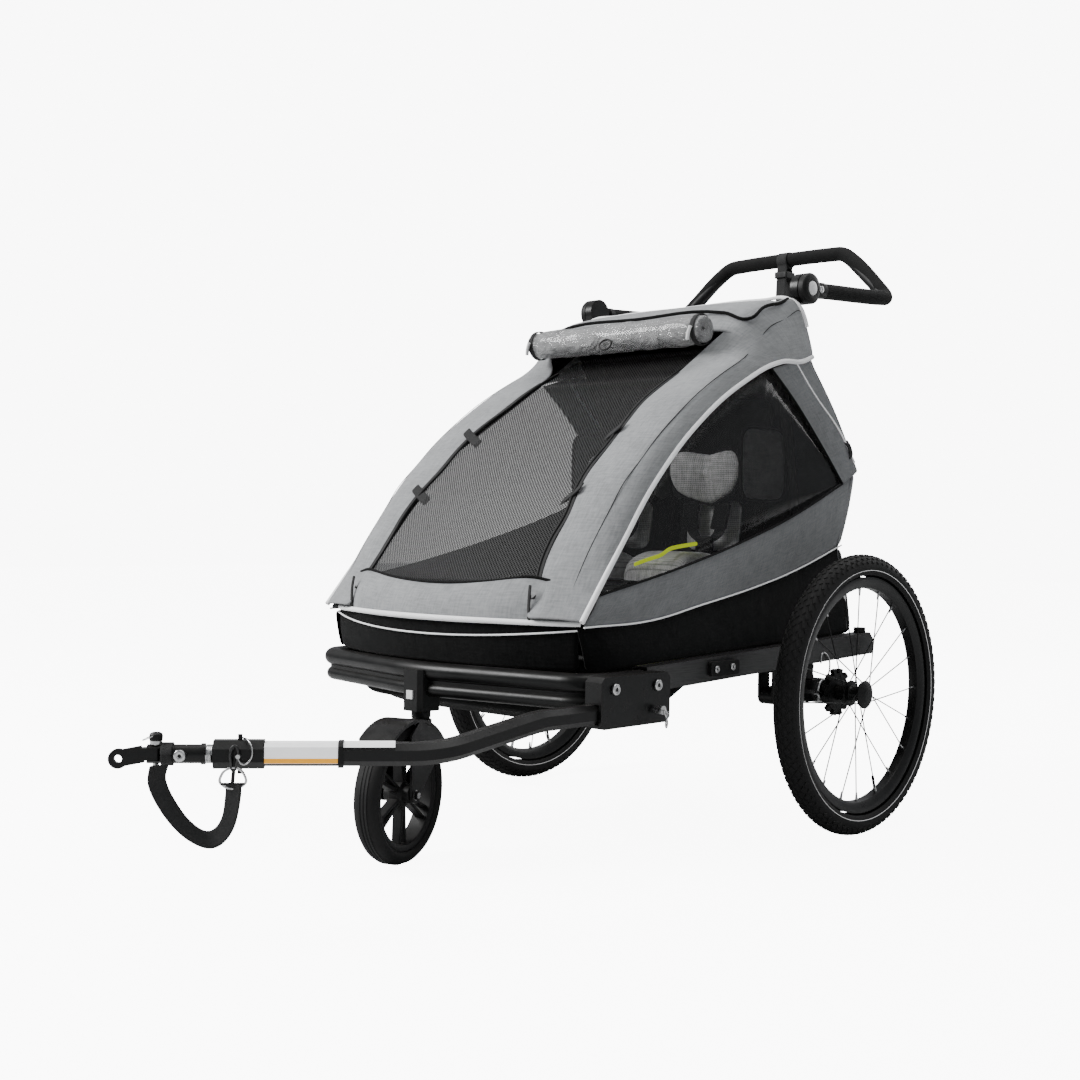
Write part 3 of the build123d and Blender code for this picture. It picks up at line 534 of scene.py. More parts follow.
def tubeCurve(name, points, radius, mat, cyclic=False, sides=3, smooth=True, taper=None):
    curve = bpy.data.curves.new(name, "CURVE")
    curve.dimensions = "3D"
    curve.bevel_depth = radius / 1000
    curve.bevel_resolution = sides
    curve.resolution_u = curve.render_resolution_u = 6
    curve.use_fill_caps = True
    line = curve.splines.new("BEZIER" if smooth else "POLY")
    pts = [at(*p) for p in points]
    if smooth:
        line.bezier_points.add(len(pts) - 1)
        for k, (spot, p) in enumerate(zip(line.bezier_points, pts)):
            spot.co = p
            spot.handle_left_type = spot.handle_right_type = "AUTO"
            spot.radius = taper[k] if taper else 1
    else:
        line.points.add(len(pts) - 1)
        for spot, p in zip(line.points, pts):
            spot.co = (*p, 1)
    line.use_cyclic_u = cyclic
    obj = bpy.data.objects.new(name, curve)
    bpy.context.collection.objects.link(obj)
    curve.materials.append(mats[mat])
    settled = bpy.data.meshes.new_from_object(obj.evaluated_get(bpy.context.evaluated_depsgraph_get()))
    bpy.data.objects.remove(obj)
    for poly in settled.polygons:
        poly.use_smooth = True
    return addObject(name, settled)


def strap(name, points, across, width, mat, thick=1.6, count=0, levels=1):
    # flat webbing along a line; across is one direction or one for each point
    line = smoothLine(points, count or 4 * len(points))
    sides = [Vector(a) for a in across] if isinstance(across[0], (tuple, list,
            Vector)) else [Vector(across)] * 2
    sides = smoothLine(sides, len(line)) if len(sides) > 1 else sides * len(line)
    rows = []
    for p, a in zip(line, sides):
        a = a.normalized() * width / 2
        rows.append([tuple(p - a), tuple(p - a * 0.4), tuple(p + a * 0.4), tuple(p + a)])
    obj = clothGrid(name, rows, mat, thick / 1000, levels)
    obj.modifiers["solidify"].offset = 0
    return obj


def spun(name, profile, mat, place, steps=64, bevel=0.0, segments=2):
    # profile points are (radius, along) in millimetres, top first; turned about local Z, then placed
    mesh = bpy.data.meshes.new(name)
    mesh.from_pydata([(r / 1000, 0, z / 1000) for r, z in profile], [(i,
            i + 1) for i in range(len(profile) - 1)], [])
    obj = addObject(name, mesh)
    modify(obj, "SCREW", angle=math.tau, steps=steps, render_steps=steps, use_merge_vertices=True,
           merge_threshold=0.00002)
    if bevel:
        modify(obj, "BEVEL", width=bevel / 1000, segments=segments, limit_method="ANGLE",
               angle_limit=math.radians(35))
    settle(obj)
    obj.data.transform(place)
    recalculate(obj)
    for poly in obj.data.polygons:
        poly.use_smooth = True
    modify(obj, "WEIGHTED_NORMAL")
    obj.data.materials.append(mats[mat])
    return obj


def boxes(name, sizes, mat, bevel=0.8, place=None):
    # rounded blocks: each is (low corner, high corner) in millimetres
    bm = bmesh.new()
    for low, high in sizes:
        made = bmesh.ops.create_cube(bm, size=1)["verts"]
        for v in made:
            v.co = Vector([(lo + hi) / 2 + c * (hi - lo) for lo, hi, c in zip(low, high, v.co)]) / 1000
    mesh = bpy.data.meshes.new(name)
    bm.to_mesh(mesh)
    bm.free()
    mesh.transform(place if place else Matrix.Translation((0, axleY, 0)))
    obj = addObject(name, mesh, mat)
    modify(obj, "BEVEL", width=bevel / 1000, segments=2, limit_method="ANGLE")
    for poly in mesh.polygons:
        poly.use_smooth = True
    modify(obj, "WEIGHTED_NORMAL")
    return obj


def mirrored(obj, name):  # the same piece on the right-hand side
    other = obj.copy()
    other.name = name
    other.data = obj.data.copy()
    other.data.transform(Matrix.Diagonal((-1, 1, 1, 1)))
    bm = bmesh.new()
    bm.from_mesh(other.data)
    bmesh.ops.reverse_faces(bm, faces=bm.faces)
    bm.to_mesh(other.data)
    bm.free()
    bpy.context.collection.objects.link(other)
    return other


def slump(obj):  # make the modifier stack and the placement part of the mesh
    settle(obj)
    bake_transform(obj)
    return obj


def both(obj, rightName, body):
    pair = (obj, mirrored(obj, rightName))
    for one in pair:
        slump(one) if body == "slump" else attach(one, body)
    return pair


foldDown = ("frame_fold", (0, 0, 1), tuple(at(0, 0, 366)), 0.36)

wallLine = {"x": 305, "lean": 0.06, "z": 400}


def wallX(z):
    return wallLine["x"] - wallLine["lean"] * (z - wallLine["z"])


def onLine(line, z):  # y where a rising (y, z) line passes height z
    for (y0, z0), (y1, z1) in zip(line, line[1:]):
        if z0 <= z <= z1:
            return y0 + (y1 - y0) * (z - z0) / (z1 - z0)
    return line[0][0] if z < line[0][1] else line[-1][0]


piping = [(-632, 401), (-538, 514), (-446, 619), (-321, 724), (-187, 802), (-77, 844), (-13, 850), (24, 862)]
shoulder = [(-654, 396), (-640, 414), (-585, 505), (-505, 610), (-400, 708), (-290, 785), (-160, 852),
            (-73, 905), (-20, 958)]
skirtTop = [(-630, 388), (-470, 393), (-337, 414), (-163, 444), (-36, 473), (103, 514)]
windowFoot = [(-592, 436), (-382, 478), (-167, 532), (-46, 569), (116, 630)]
windowRear = [(-106, 829), (-43, 782), (45, 702), (116, 630)]


def reachAt(z):
    return 207 - 47 * (z - 446) / 426


def bowAt(z):
    return max(1.0, 28 * (1 - (z - 446) / 300))


def makeFlank():  # the front of the hood, round the shoulder to the white piping
    s = {"heights": (397, 420, 450, 490, 530, 570, 610, 650, 690, 730, 770, 806, 838), "scallop": 5}
    rows = []
    for k, z in enumerate(s["heights"]):
        front, pipe = onLine(shoulder, z), onLine(piping, z)
        x = wallX(z)
        edgeX, edgeY = reachAt(z) + 1, front - 0.3 * bowAt(z)
        if z < 446:
            edgeX, edgeY = 212, front - 8
        edgeX += s["scallop"] * math.sin(k * 1.9)
        back = min(front + 34, pipe - 3)
        rows.append([(edgeX, edgeY - 1, z), ((edgeX + 262) / 2, (edgeY + front) / 2 - 4, z + 3),
                     (250, front - 3, z + 2),
                     (272, front + 5, z + 2), (x - 4, front + 22 if back > front + 22 else back - 4, z),
                     (x + 1.5, (back + pipe) / 2, z), (x + 1.5, pipe, z)])
    top = [((222, -166, 896), (236, -163, 890), (250, -150, 876), (264, -138, 866), (276, -118, 860),
            (280, -98, 850), (280, -77, 844)),
           ((238, -118, 930), (246, -112, 926), (256, -104, 916), (266, -94, 905), (274, -76, 892),
            (279, -62, 870), (280, -40, 848)),
           ((246, -66, 951), (252, -60, 948), (260, -54, 938), (268, -46, 926), (274, -36, 905),
            (279, -26, 880), (280, -12, 850)),
           ((250, -26, 966), (256, -22, 964), (263, -18, 956), (269, -12, 944), (274, -6, 918), (278, 2, 890),
            (280, 16, 858)),
           ((250, -2, 968), (256, 0, 965), (262, 3, 957), (268, 6, 944), (273, 12, 918), (277, 20, 888),
            (280, 26, 864))]
    rows += [list(row) for row in top]
    flank = clothGrid("flank_left", rows, "canopy", 0.0022, 3, flip=True, wave=0.0016)
    for one in both(flank, "flank_right", "upper_frame"):
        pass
    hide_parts("hoop_sleeves")
    seam = smoothLine([(row[3][0] + 0.4, row[3][1] - 0.8, row[3][2]) for row in rows], 60)
    stitch = tubeCurve("shoulderSeam_left", seam, 0.7, "cord", sides=1)
    both(stitch, "shoulderSeam_right", "upper_frame")
    welt = [(wallX(z) + 3.2, y, z) for y, z in [(-636, 396)] + piping]
    pipe = tubeCurve("hoopPiping_left", welt, 4.6, "piping", sides=3)
    both(pipe, "hoopPiping_right", "upper_frame")
    return flank


def makeZip():  # black zip round the front opening with two tabs on each side and a hanging end
    rows = [z for z in (428, 446, 480, 520, 560, 600, 640, 680, 720, 760, 800, 840)]
    line = [(reachAt(z) - 1 + 4 * math.sin(k * 1.9), onLine(shoulder, z) - 0.3 * bowAt(z) - 3.5, z) for k,
            z in enumerate(rows)]
    line = [(line[0][0] + 6, line[0][1] - 4, line[0][2])] + line[1:]
    tape = strap("zipTape_left", line, [(1, 0.05, 0.15)] * 2, 11, "webbing", 1.4, 50)
    both(tape, "zipTape_right", "upper_frame")
    teeth = tubeCurve("zipTeeth_left", [(x - 3.5, y - 1.6, z) for x, y, z in line], 2.1, "plastic", sides=2)
    both(teeth, "zipTeeth_right", "upper_frame")
    x, y, z = line[0]
    tail = strap("zipEnd_left", [(x, y - 4, z + 22), (x + 1, y - 7, z + 4), (x + 1, y - 8, z - 18),
                                 (x + 2, y - 8, z - 40)],
                 (1, 0, 0), 4.5, "webbing", 2.2)
    both(tail, "zipEnd_right", "upper_frame")
    for k, height in enumerate((596, 704)):
        y = onLine(shoulder, height) - 0.3 * bowAt(height)
        tab = strap(f"zipTab{k}_left", [(reachAt(height) + 12, y - 3, height + 12),
                                        (reachAt(height) - 4, y - 5, height),
                                        (reachAt(height) - 26, y - 7, height - 14)], (-0.1, 0.75, 0.66), 19,
                    "webbing", 2.6)
        both(tab, f"zipTab{k}_right", "upper_frame")


def makeFrontNet():
    heights = [449, 480, 520, 560, 600, 640, 680, 720, 760, 806, 845, 872]
    parts = {"frontNetSheet": heights[:10], "browNet": heights[9:]}
    for name, own in parts.items():
        rows = []
        for z in own:
            reach, bow, front = reachAt(z) + 5, bowAt(z), onLine(shoulder, z)
            rows.append([(-reach + 2 * reach * u, front - 0.3 * bow - bow * (1 - (2 * u - 1) ** 2) + 1.5, z)
                         for u in (0, 0.08, 0.22, 0.36, 0.5, 0.64, 0.78, 0.92, 1)])
        obj = clothGrid(name, rows, "frontNet", 0.0007, 2)
        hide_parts("front_mesh" if name == "frontNetSheet" else "roof_panel")
        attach(obj, "front_cover" if name == "frontNetSheet" else "upper_frame")


def makeLip():  # the grey apron under the opening, with white piping along its foot
    rows = []
    foot = smoothLine([(-291, -618, 393), (-278, -630, 393), (-211, -655, 393), (-108, -681, 393),
                       (0, -689, 393),
                       (108, -681, 393), (211, -655, 393), (278, -630, 393), (291, -618, 393)], 17)
    head = smoothLine([(-262, -612, 452), (-235, -622, 455), (-196, -634, 461), (-110, -650, 451),
                       (0, -656, 446),
                       (110, -650, 451), (196, -634, 461), (235, -622, 455), (262, -612, 452)], 17)
    for t in (0, 0.12, 0.35, 0.6, 0.85, 1):
        swell = 9 * math.sin(math.pi * t) ** 0.8
        rows.append([(a.x + (b.x - a.x) * t, a.y + (b.y - a.y) * t - swell, a.z + (b.z - a.z) * t)
                     for a, b in zip(foot, head)])
    lip = clothGrid("apron", rows, "canopy", 0.0022, 3, wave=0.003)
    settle(lip)
    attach(lip, "chassis")
    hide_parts("front_lip")
    hem = tubeCurve("apronHem", [(p.x, p.y + 1, p.z + 1) for p in head], 2.4, "cord", sides=2)
    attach(hem, "chassis")
    welt = tubeCurve("apronPiping", [(p.x, p.y - 1.5, p.z - 1) for p in foot], 4.4, "piping")
    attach(welt, "chassis")


def sagLine(z0, sag, count=17):
    found = []
    for k in range(count):
        u = -1 + 2 * k / (count - 1)
        found.append((u * 289, -620 - 64 * (1 - abs(u) ** 2.3), z0 - sag * (1 - u * u)))
    return found


def makeSkirt():
    top = sagLine(391, 4)
    middle = sagLine(382, 17)
    foot = [(x * 0.99, y + 6, 320) for x, y, z in top]
    rows = []
    for t in (0, 0.2, 0.45, 0.7, 0.9, 1):
        rows.append([(a[0] + (b[0] - a[0]) * t, a[1] + (b[1] - a[1]) * t - 5 * math.sin(math.pi * t),
                      a[2] + (b[2] - a[2]) * t)
                     for a, b in zip(foot, top)])
    front = clothGrid("skirtFront", rows, "skirt", 0.002, 2, wave=0.002)
    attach(front, "chassis")
    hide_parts("skirt")
    for name, line, radius in (("skirtPiping", middle, 1.5), ("skirtPipingUpper",
            [(x, y + 1, z + 1) for x, y, z in top], 1.5)):
        welt = tubeCurve(name, [(x, y - 4.5, z) for x, y, z in line], radius, "piping", sides=2)
        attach(welt, "chassis")
    low = smoothLine([(0, y, 300 + 0.04 * (y + 560) + 21.5) for y in (128, -120, -360, -612)][::-1], 18)
    high = smoothLine([(0, y, z - 2) for y, z in skirtTop], 18)
    rows = []
    for t in (0, 0.15, 0.5, 0.85, 1):
        row = []
        for a, b in zip(low, high):
            z = a.z + (b.z - a.z) * t
            front = max(0, (-560 - (a.y + b.y) / 2) / 60)
            row.append((wallX(z) - 1 + 3 * math.sin(math.pi * t) - 12 * front ** 2, a.y + (b.y - a.y) * t, z))
        rows.append(row)
    side = clothGrid("skirtSide_left", rows, "skirt", 0.002, 2, wave=0.001)
    pair = both(side, "skirtSide_right", "chassis")
    seam = [(wallX(z) + 1.8, y, z) for y, z in skirtTop]
    both(tubeCurve("sidePiping_left", seam, 1.5, "piping", sides=2), "sidePiping_right", "chassis")


def wallRows(lower, upper, steps, belly, count=20):
    a = smoothLine([(0, y, z) for y, z in lower], count)
    b = smoothLine([(0, y, z) for y, z in upper], count)
    rows = []
    for t in steps:
        row = []
        for p, q in zip(a, b):
            y, z = p.y + (q.y - p.y) * t, p.z + (q.z - p.z) * t
            row.append((wallX(z) + belly * math.sin(math.pi * t), y, z))
        rows.append(row)
    return rows


def makeSides():
    band = wallRows(skirtTop, windowFoot[:-1] + [(116, 632), (164, 652)], (0, 0.1, 0.35, 0.65, 0.9, 1), 4)
    for row in band:  # the band's rear end turns in to the flap
        row[-1] = (row[-1][0] - 3, row[-1][1] + 2, row[-1][2])
    # the side bands and the rear bands below take the canopy cloth's darker copy, a painted shade
    lowBand = clothGrid("sideBand_left", band, "canopyPaintedShade", 0.002, 2, wave=0.0012)
    for one in both(lowBand, "sideBand_right", "slump"):
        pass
    rear = wallRows(windowRear, [(14, 862), (92, 772), (148, 690), (170, 656)], (0, 0.08, 0.5, 0.92, 1), 3,
                    14)
    rearBand = clothGrid("rearBand_left", rear, "canopyPaintedShade", 0.002, 2, flip=True, wave=0.0012)
    for one in both(rearBand, "rearBand_right", "slump"):
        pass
    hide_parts("side_panels")
    # the dark window, from the foot line up to the piping
    foot = smoothLine([(0, y, z) for y, z in windowFoot], 16)
    head = smoothLine([(0, y + 2, z - 2) for y, z in piping[:-2]] + [(0, -106, 832), (0, -43, 782),
            (0, 45, 702), (0, 116, 632)], 40)
    top = [head[round(k * 39 / 15)] for k in range(16)]
    rows = []
    for t in (0, 0.3, 0.6, 1):
        rows.append([(wallX(a.z + (b.z - a.z) * t) - 1.5, a.y + (b.y - a.y) * t, a.z + (b.z - a.z) * t) for a,
                     b in zip(foot, top)])
    pane = clothGrid("windowFilm_left", rows, "window", 0.0006, 1, wave=0.0008)
    for one in both(pane, "windowFilm_right", "slump"):
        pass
    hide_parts("side_windows")
    edge = [(wallX(z) + 0.6, y, z) for y, z in windowFoot]
    both(tubeCurve("windowBinding_left", edge, 2.2, "cord", sides=2), "windowBinding_right", "slump")
    edge = [(wallX(z) + 0.6, y, z) for y, z in windowRear]
    both(tubeCurve("windowRearBinding_left", edge, 2.2, "cord", sides=2), "windowRearBinding_right", "slump")
    welt = [(wallX(z) + 2.5, y, z) for y, z in [(-30, 846), (24, 795), (110, 728), (158, 672)]]
    both(tubeCurve("rearPiping_left", welt, 2.4, "piping", sides=2), "rearPiping_right", "slump")


def makeRear():  # the rear flap, rounded into the sides, with a loop
    line = smoothLine([(0, 8, 930), (0, 26, 878), (0, 94, 772), (0, 150, 692), (0, 173, 657), (0, 154, 625),
                       (0, 124, 560),
                       (0, 106, 500), (0, 122, 420), (0, 128, 352)], 30)
    rows = []
    for p in line:
        x = wallX(p.z) - 1
        rows.append([(-x, p.y - 16, p.z), (-x + 6, p.y - 4, p.z), (-x + 24, p.y + 1, p.z),
                     (-150, p.y + 5, p.z),
                     (0, p.y + 7, p.z), (150, p.y + 5, p.z), (x - 24, p.y + 1, p.z), (x - 6, p.y - 4, p.z),
                     (x, p.y - 16, p.z)])
    # the rear flap takes the canopy cloth's darker copy, a painted shade
    flap = clothGrid("rearFlap", rows, "canopyPaintedShade", 0.002, 2, flip=True, wave=0.004)
    slump(flap)
    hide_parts("rear_panel")
    inside = [[(x * 0.985, y - 9, z) for x, y, z in row] for row in rows]
    lining = clothGrid("rearLining", inside, "lining", 0.001, 1, flip=True)
    slump(lining)
    tail = strap("rearLoop_left", [(wallX(690) + 2, 128, 712), (wallX(690) + 6, 136, 700),
                                   (wallX(690) + 6, 143, 684), (wallX(690) + 2, 140, 676)],
                 (0.2, 1, 0.6), 9, "webbing", 1.6)
    both(tail, "rearLoop_right", "slump")


def makeRoof():
    line = [(-168, 897), (-140, 932), (-110, 946), (-80, 957), (-40, 966), (-6, 971), (6, 964), (12, 930)]
    rows = []
    for k, (y, z) in enumerate(line):
        reach = 252 if k > 1 else 240
        crown = 4 if k < 6 else 0
        rows.append([(-reach, y + 14, z - 14), (-reach + 14, y + 3, z - 2), (-180, y, z + crown * 0.6),
                     (-90, y, z + crown), (0, y, z + crown),
                     (90, y, z + crown), (180, y, z + crown * 0.6), (reach - 14, y + 3, z - 2),
                     (reach, y + 14, z - 14)])
    roof = clothGrid("roofCloth", rows, "canopy", 0.0022, 3, flip=False, wave=0.002)
    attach(roof, "upper_frame")
    edge = [(-244, -132, 918), (-200, -142, 932), (0, -144, 937), (200, -142, 932), (244, -132, 918),
            (252, -90, 944), (256, -46, 956), (250, -14, 968)]
    rim = tubeCurve("roofEdging", edge, 3.2, "cord", sides=2)
    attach(rim, "upper_frame")
    rear = tubeCurve("roofRearPiping", [(-268, 2, 946), (-250, -2, 967), (-180, 2, 974), (0, 4, 975),
                                        (180, 2, 974), (250, -2, 967), (268, 2, 946)],
                     3.6, "piping", sides=2)
    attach(rear, "upper_frame")
    corner = tubeCurve("cornerPiping_left", [(250, -2, 967), (264, 2, 955), (272, 8, 934), (275, 12, 916)],
                       4.6, "piping")
    both(corner, "cornerPiping_right", "upper_frame")


def makeFootwell():  # the cloth tub under the front seats' feet
    s = {"half": 261, "corner": 14, "top": 332}
    profile = [(-590.5, 326), (-590.5, 285), (-589, 250), (-584, 240), (-560, 237), (-544, 233), (-512, 219),
               (-468, 217.5), (-427, 219),
               (-390, 233), (-340, 256), (-300, 276), (-289, 287), (-287, 306), (-287, 326)]
    rows = []
    for y, z in profile:
        floor = min(z, s["top"] - 2)
        sag = 3 * math.exp(-((y + 470) / 90) ** 2)
        side = [(-s["half"], y, s["top"]), (-s["half"], y, floor + (s["top"] - floor) * 0.5),
                (-s["half"], y, floor + s["corner"] * 0.9),
                (-s["half"] + s["corner"] * 0.8, y, floor + 1.5), (-s["half"] + 40, y, floor)]
        middle = [(x, y, floor - sag) for x in (-150, -60, 60, 150)]
        rows.append(side + middle + [(-p[0], p[1], p[2]) for p in reversed(side)])
    tub = clothGrid("footwellCloth", rows, "tub", 0.0024, 2, wave=0.0008)
    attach(tub, "chassis")
    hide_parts("footwell")
    hem = tubeCurve("footwellHem", [(-s["half"], -590, s["top"]), (s["half"], -590, s["top"])], 2.6, "cord",
                    sides=2)
    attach(hem, "chassis")


makeFlank()
makeFootwell()
makeZip()
makeFrontNet()
makeLip()
makeSkirt()
makeSides()
makeRear()
makeRoof()
print("canopy made")
def makeRoll():  # clear rain cover, rolled up and held by two loops
    s = {"y": -206, "z": 897, "radius": 29, "reach": 206, "turns": 5}
    rows = []
    for i in range(45):
        x = -s["reach"] + 2 * s["reach"] * i / 44
        row = []
        for j in range(24):
            a = math.tau * j / 24
            pinch = 1 - 0.14 * math.exp(-((abs(x) - 197) / 12) ** 2)
            r = s["radius"] * pinch * (1 + 0.09 * noise.noise(Vector((x / 34, math.cos(a) * 1.3,
                    math.sin(a) * 1.3)))
                                       + 0.05 * noise.noise(Vector((x / 11, math.cos(a) * 3,
                                               math.sin(a) * 3))))
            row.append((x, s["y"] + r * math.cos(a), s["z"] - 2 + r * 0.96 * math.sin(a)))
        rows.append(row + [row[0]])
    for end, sign in ((rows[0], -1), (rows[-1], 1)):  # gathered ends
        for share, out in ((0.86, 3), (0.55, 2), (0.12, -3)):
            closed = [(p[0] + sign * out, s["y"] + (p[1] - s["y"]) * share,
                       s["z"] + (p[2] - s["z"]) * share) for p in end]
            rows.insert(0, closed) if sign < 0 else rows.append(closed)
    roll = clothGrid("rainRoll", rows, "rainFilm", 0.0006, 1)
    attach(roll, "upper_frame")
    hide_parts("rain_roll")
    core = [[(x, s["y"] + r * math.cos(a), s["z"] - 2 + r * math.sin(a)) for a, r in
             [(math.tau * s["turns"] * j / 70 * 0.6,
               22 - 0.19 * j + 1.2 * math.sin(j * 0.7)) for j in range(70)]]
            for x in (-202, -150, -50, 50, 150, 202)]
    inner = clothGrid("rainRollTurns", core, "rainFilm", 0.0005, 0)
    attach(inner, "upper_frame")
    for name, x in (("left", 197), ("right", -197)):
        ring = [(x, s["y"] + 27.5 * math.cos(a),
                 s["z"] - 2 + 27.5 * math.sin(a)) for a in [math.tau * k / 14 for k in range(14)]]
        loop = strap(f"rollLoop_{name}", ring + [ring[0]], (1, 0, 0), 9, "webbing", 1.8, 40)
        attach(loop, "upper_frame")
        toggle = tubeCurve(f"rollToggle_{name}", [(x - 9, s["y"] - 27, s["z"] - 21),
                                                  (x - 4, s["y"] - 31, s["z"] - 10),
                                                  (x + 1, s["y"] - 32, s["z"] + 1)],
                           3.4, "white", sides=3)
        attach(toggle, "upper_frame")
    hook = tubeCurve("rollHook", [(-12, s["y"] - 30, s["z"] - 12), (-12, s["y"] - 33, s["z"] - 22),
                                  (12, s["y"] - 33, s["z"] - 22),
                                  (12, s["y"] - 30, s["z"] - 12)], 1.8, "plastic", cyclic=True, sides=2)
    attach(hook, "upper_frame")


def padFrom(name, outline, depth, mat, body, place, crown=0.35, squashed=None, edgeMat=None):
    # a crowned closed pad: outline is (u, v) in millimetres, place turns (u, v, w) to a point
    def ringAt(scale, w):
        cu = sum(p[0] for p in outline) / len(outline)
        cv = sum(p[1] for p in outline) / len(outline)
        return [place(cu + (u - cu) * scale, cv + (v - cv) * scale, w) for u, v in outline]
    levels = [(1.0, 0.0), (1.0, depth * 0.30), (0.965, depth * 0.55), (0.86, depth * 0.8),
              (0.6, depth * (1 + crown * 0.5)),
              (0.25, depth * (1 + crown))]
    back = [(1.0, 0.0), (0.97, -depth * 0.28), (0.8, -depth * 0.42), (0.3, -depth * 0.45)]
    loops = [ringAt(s, w) for s, w in reversed(levels)] + [ringAt(s, w) for s, w in back[1:]]
    n = len(outline)
    verts = [at(*p) for loop in loops for p in loop]
    faces = []
    for i in range(len(loops) - 1):
        for j in range(n):
            faces.append((i * n + j, (i + 1) * n + j, (i + 1) * n + (j + 1) % n, i * n + (j + 1) % n))
    verts.append(sum((at(*p) for p in loops[0]), Vector()) / n)
    faces += [(len(verts) - 1, j, (j + 1) % n) for j in range(n)]
    verts.append(sum((at(*p) for p in loops[-1]), Vector()) / n)
    last = (len(loops) - 1) * n
    faces += [(len(verts) - 1, last + (j + 1) % n, last + j) for j in range(n)]
    mesh = bpy.data.meshes.new(name)
    mesh.from_pydata(verts, [], faces)
    obj = addObject(name, mesh)
    recalculate(obj)
    layer = mesh.uv_layers.new(name="cloth")
    scales = [s for s, w in reversed(levels)] + [s for s, w in back[1:]]
    cu = sum(p[0] for p in outline) / n
    cv = sum(p[1] for p in outline) / n
    uv = [((cu + (u - cu) * sc) / 1000, (cv + (v - cv) * sc) / 1000) for sc in scales for u,
          v in outline] + [(cu / 1000, cv / 1000)] * 2
    for one in mesh.loops:
        layer.data[one.index].uv = uv[one.vertex_index]
    mesh.materials.append(mats[mat])
    for poly in mesh.polygons:
        poly.use_smooth = True
    subdivide(obj, 2)
    for v in mesh.vertices:
        v.co += Vector((0, -1, 0.3)) * 0.0022 * noise.noise(v.co * 16)
    binding = None
    if edgeMat:
        edge = [place(u, v, depth * 0.12) for u, v in outline]
        binding = tubeCurve(name + "_binding", edge, 3.4, edgeMat, cyclic=True, sides=2)
    made = [obj] + ([binding] if binding else [])
    for one in made:
        settle(one) if one is obj and squashed else None
        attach(one, body)
        if squashed:
            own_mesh(one)
    return obj


def roundedOutline(u0, u1, v0, v1, corner, count=5):
    found = []
    for cu, cv, start in ((u1 - corner, v1 - corner, 0), (u0 + corner, v1 - corner, 90),
                          (u0 + corner, v0 + corner, 180), (u1 - corner, v0 + corner, 270)):
        for k in range(count):
            a = math.radians(start + 90 * k / (count - 1))
            found.append((cu + corner * math.cos(a), cv + corner * math.sin(a)))
    return found


def headOutline(reach, low, high, rise):  # lowest at the middle fold, rising to a round end on each side
    radius, middleV = (high - low) / 2 - 4, (low + high) / 2
    wing = [(0, high), (reach * 0.3, high + reach * 0.3 * rise)]
    for k in range(9):
        a = math.radians(78 - 156 * k / 8)
        u = reach - radius * 0.75 + radius * 0.75 * math.cos(a)
        wing.append((u, middleV + u * rise + radius * math.sin(a)))
    wing += [(reach * 0.3, low + reach * 0.3 * rise), (0, low)]
    return list(reversed(wing + [(-u, v) for u, v in reversed(wing[1:-1])]))


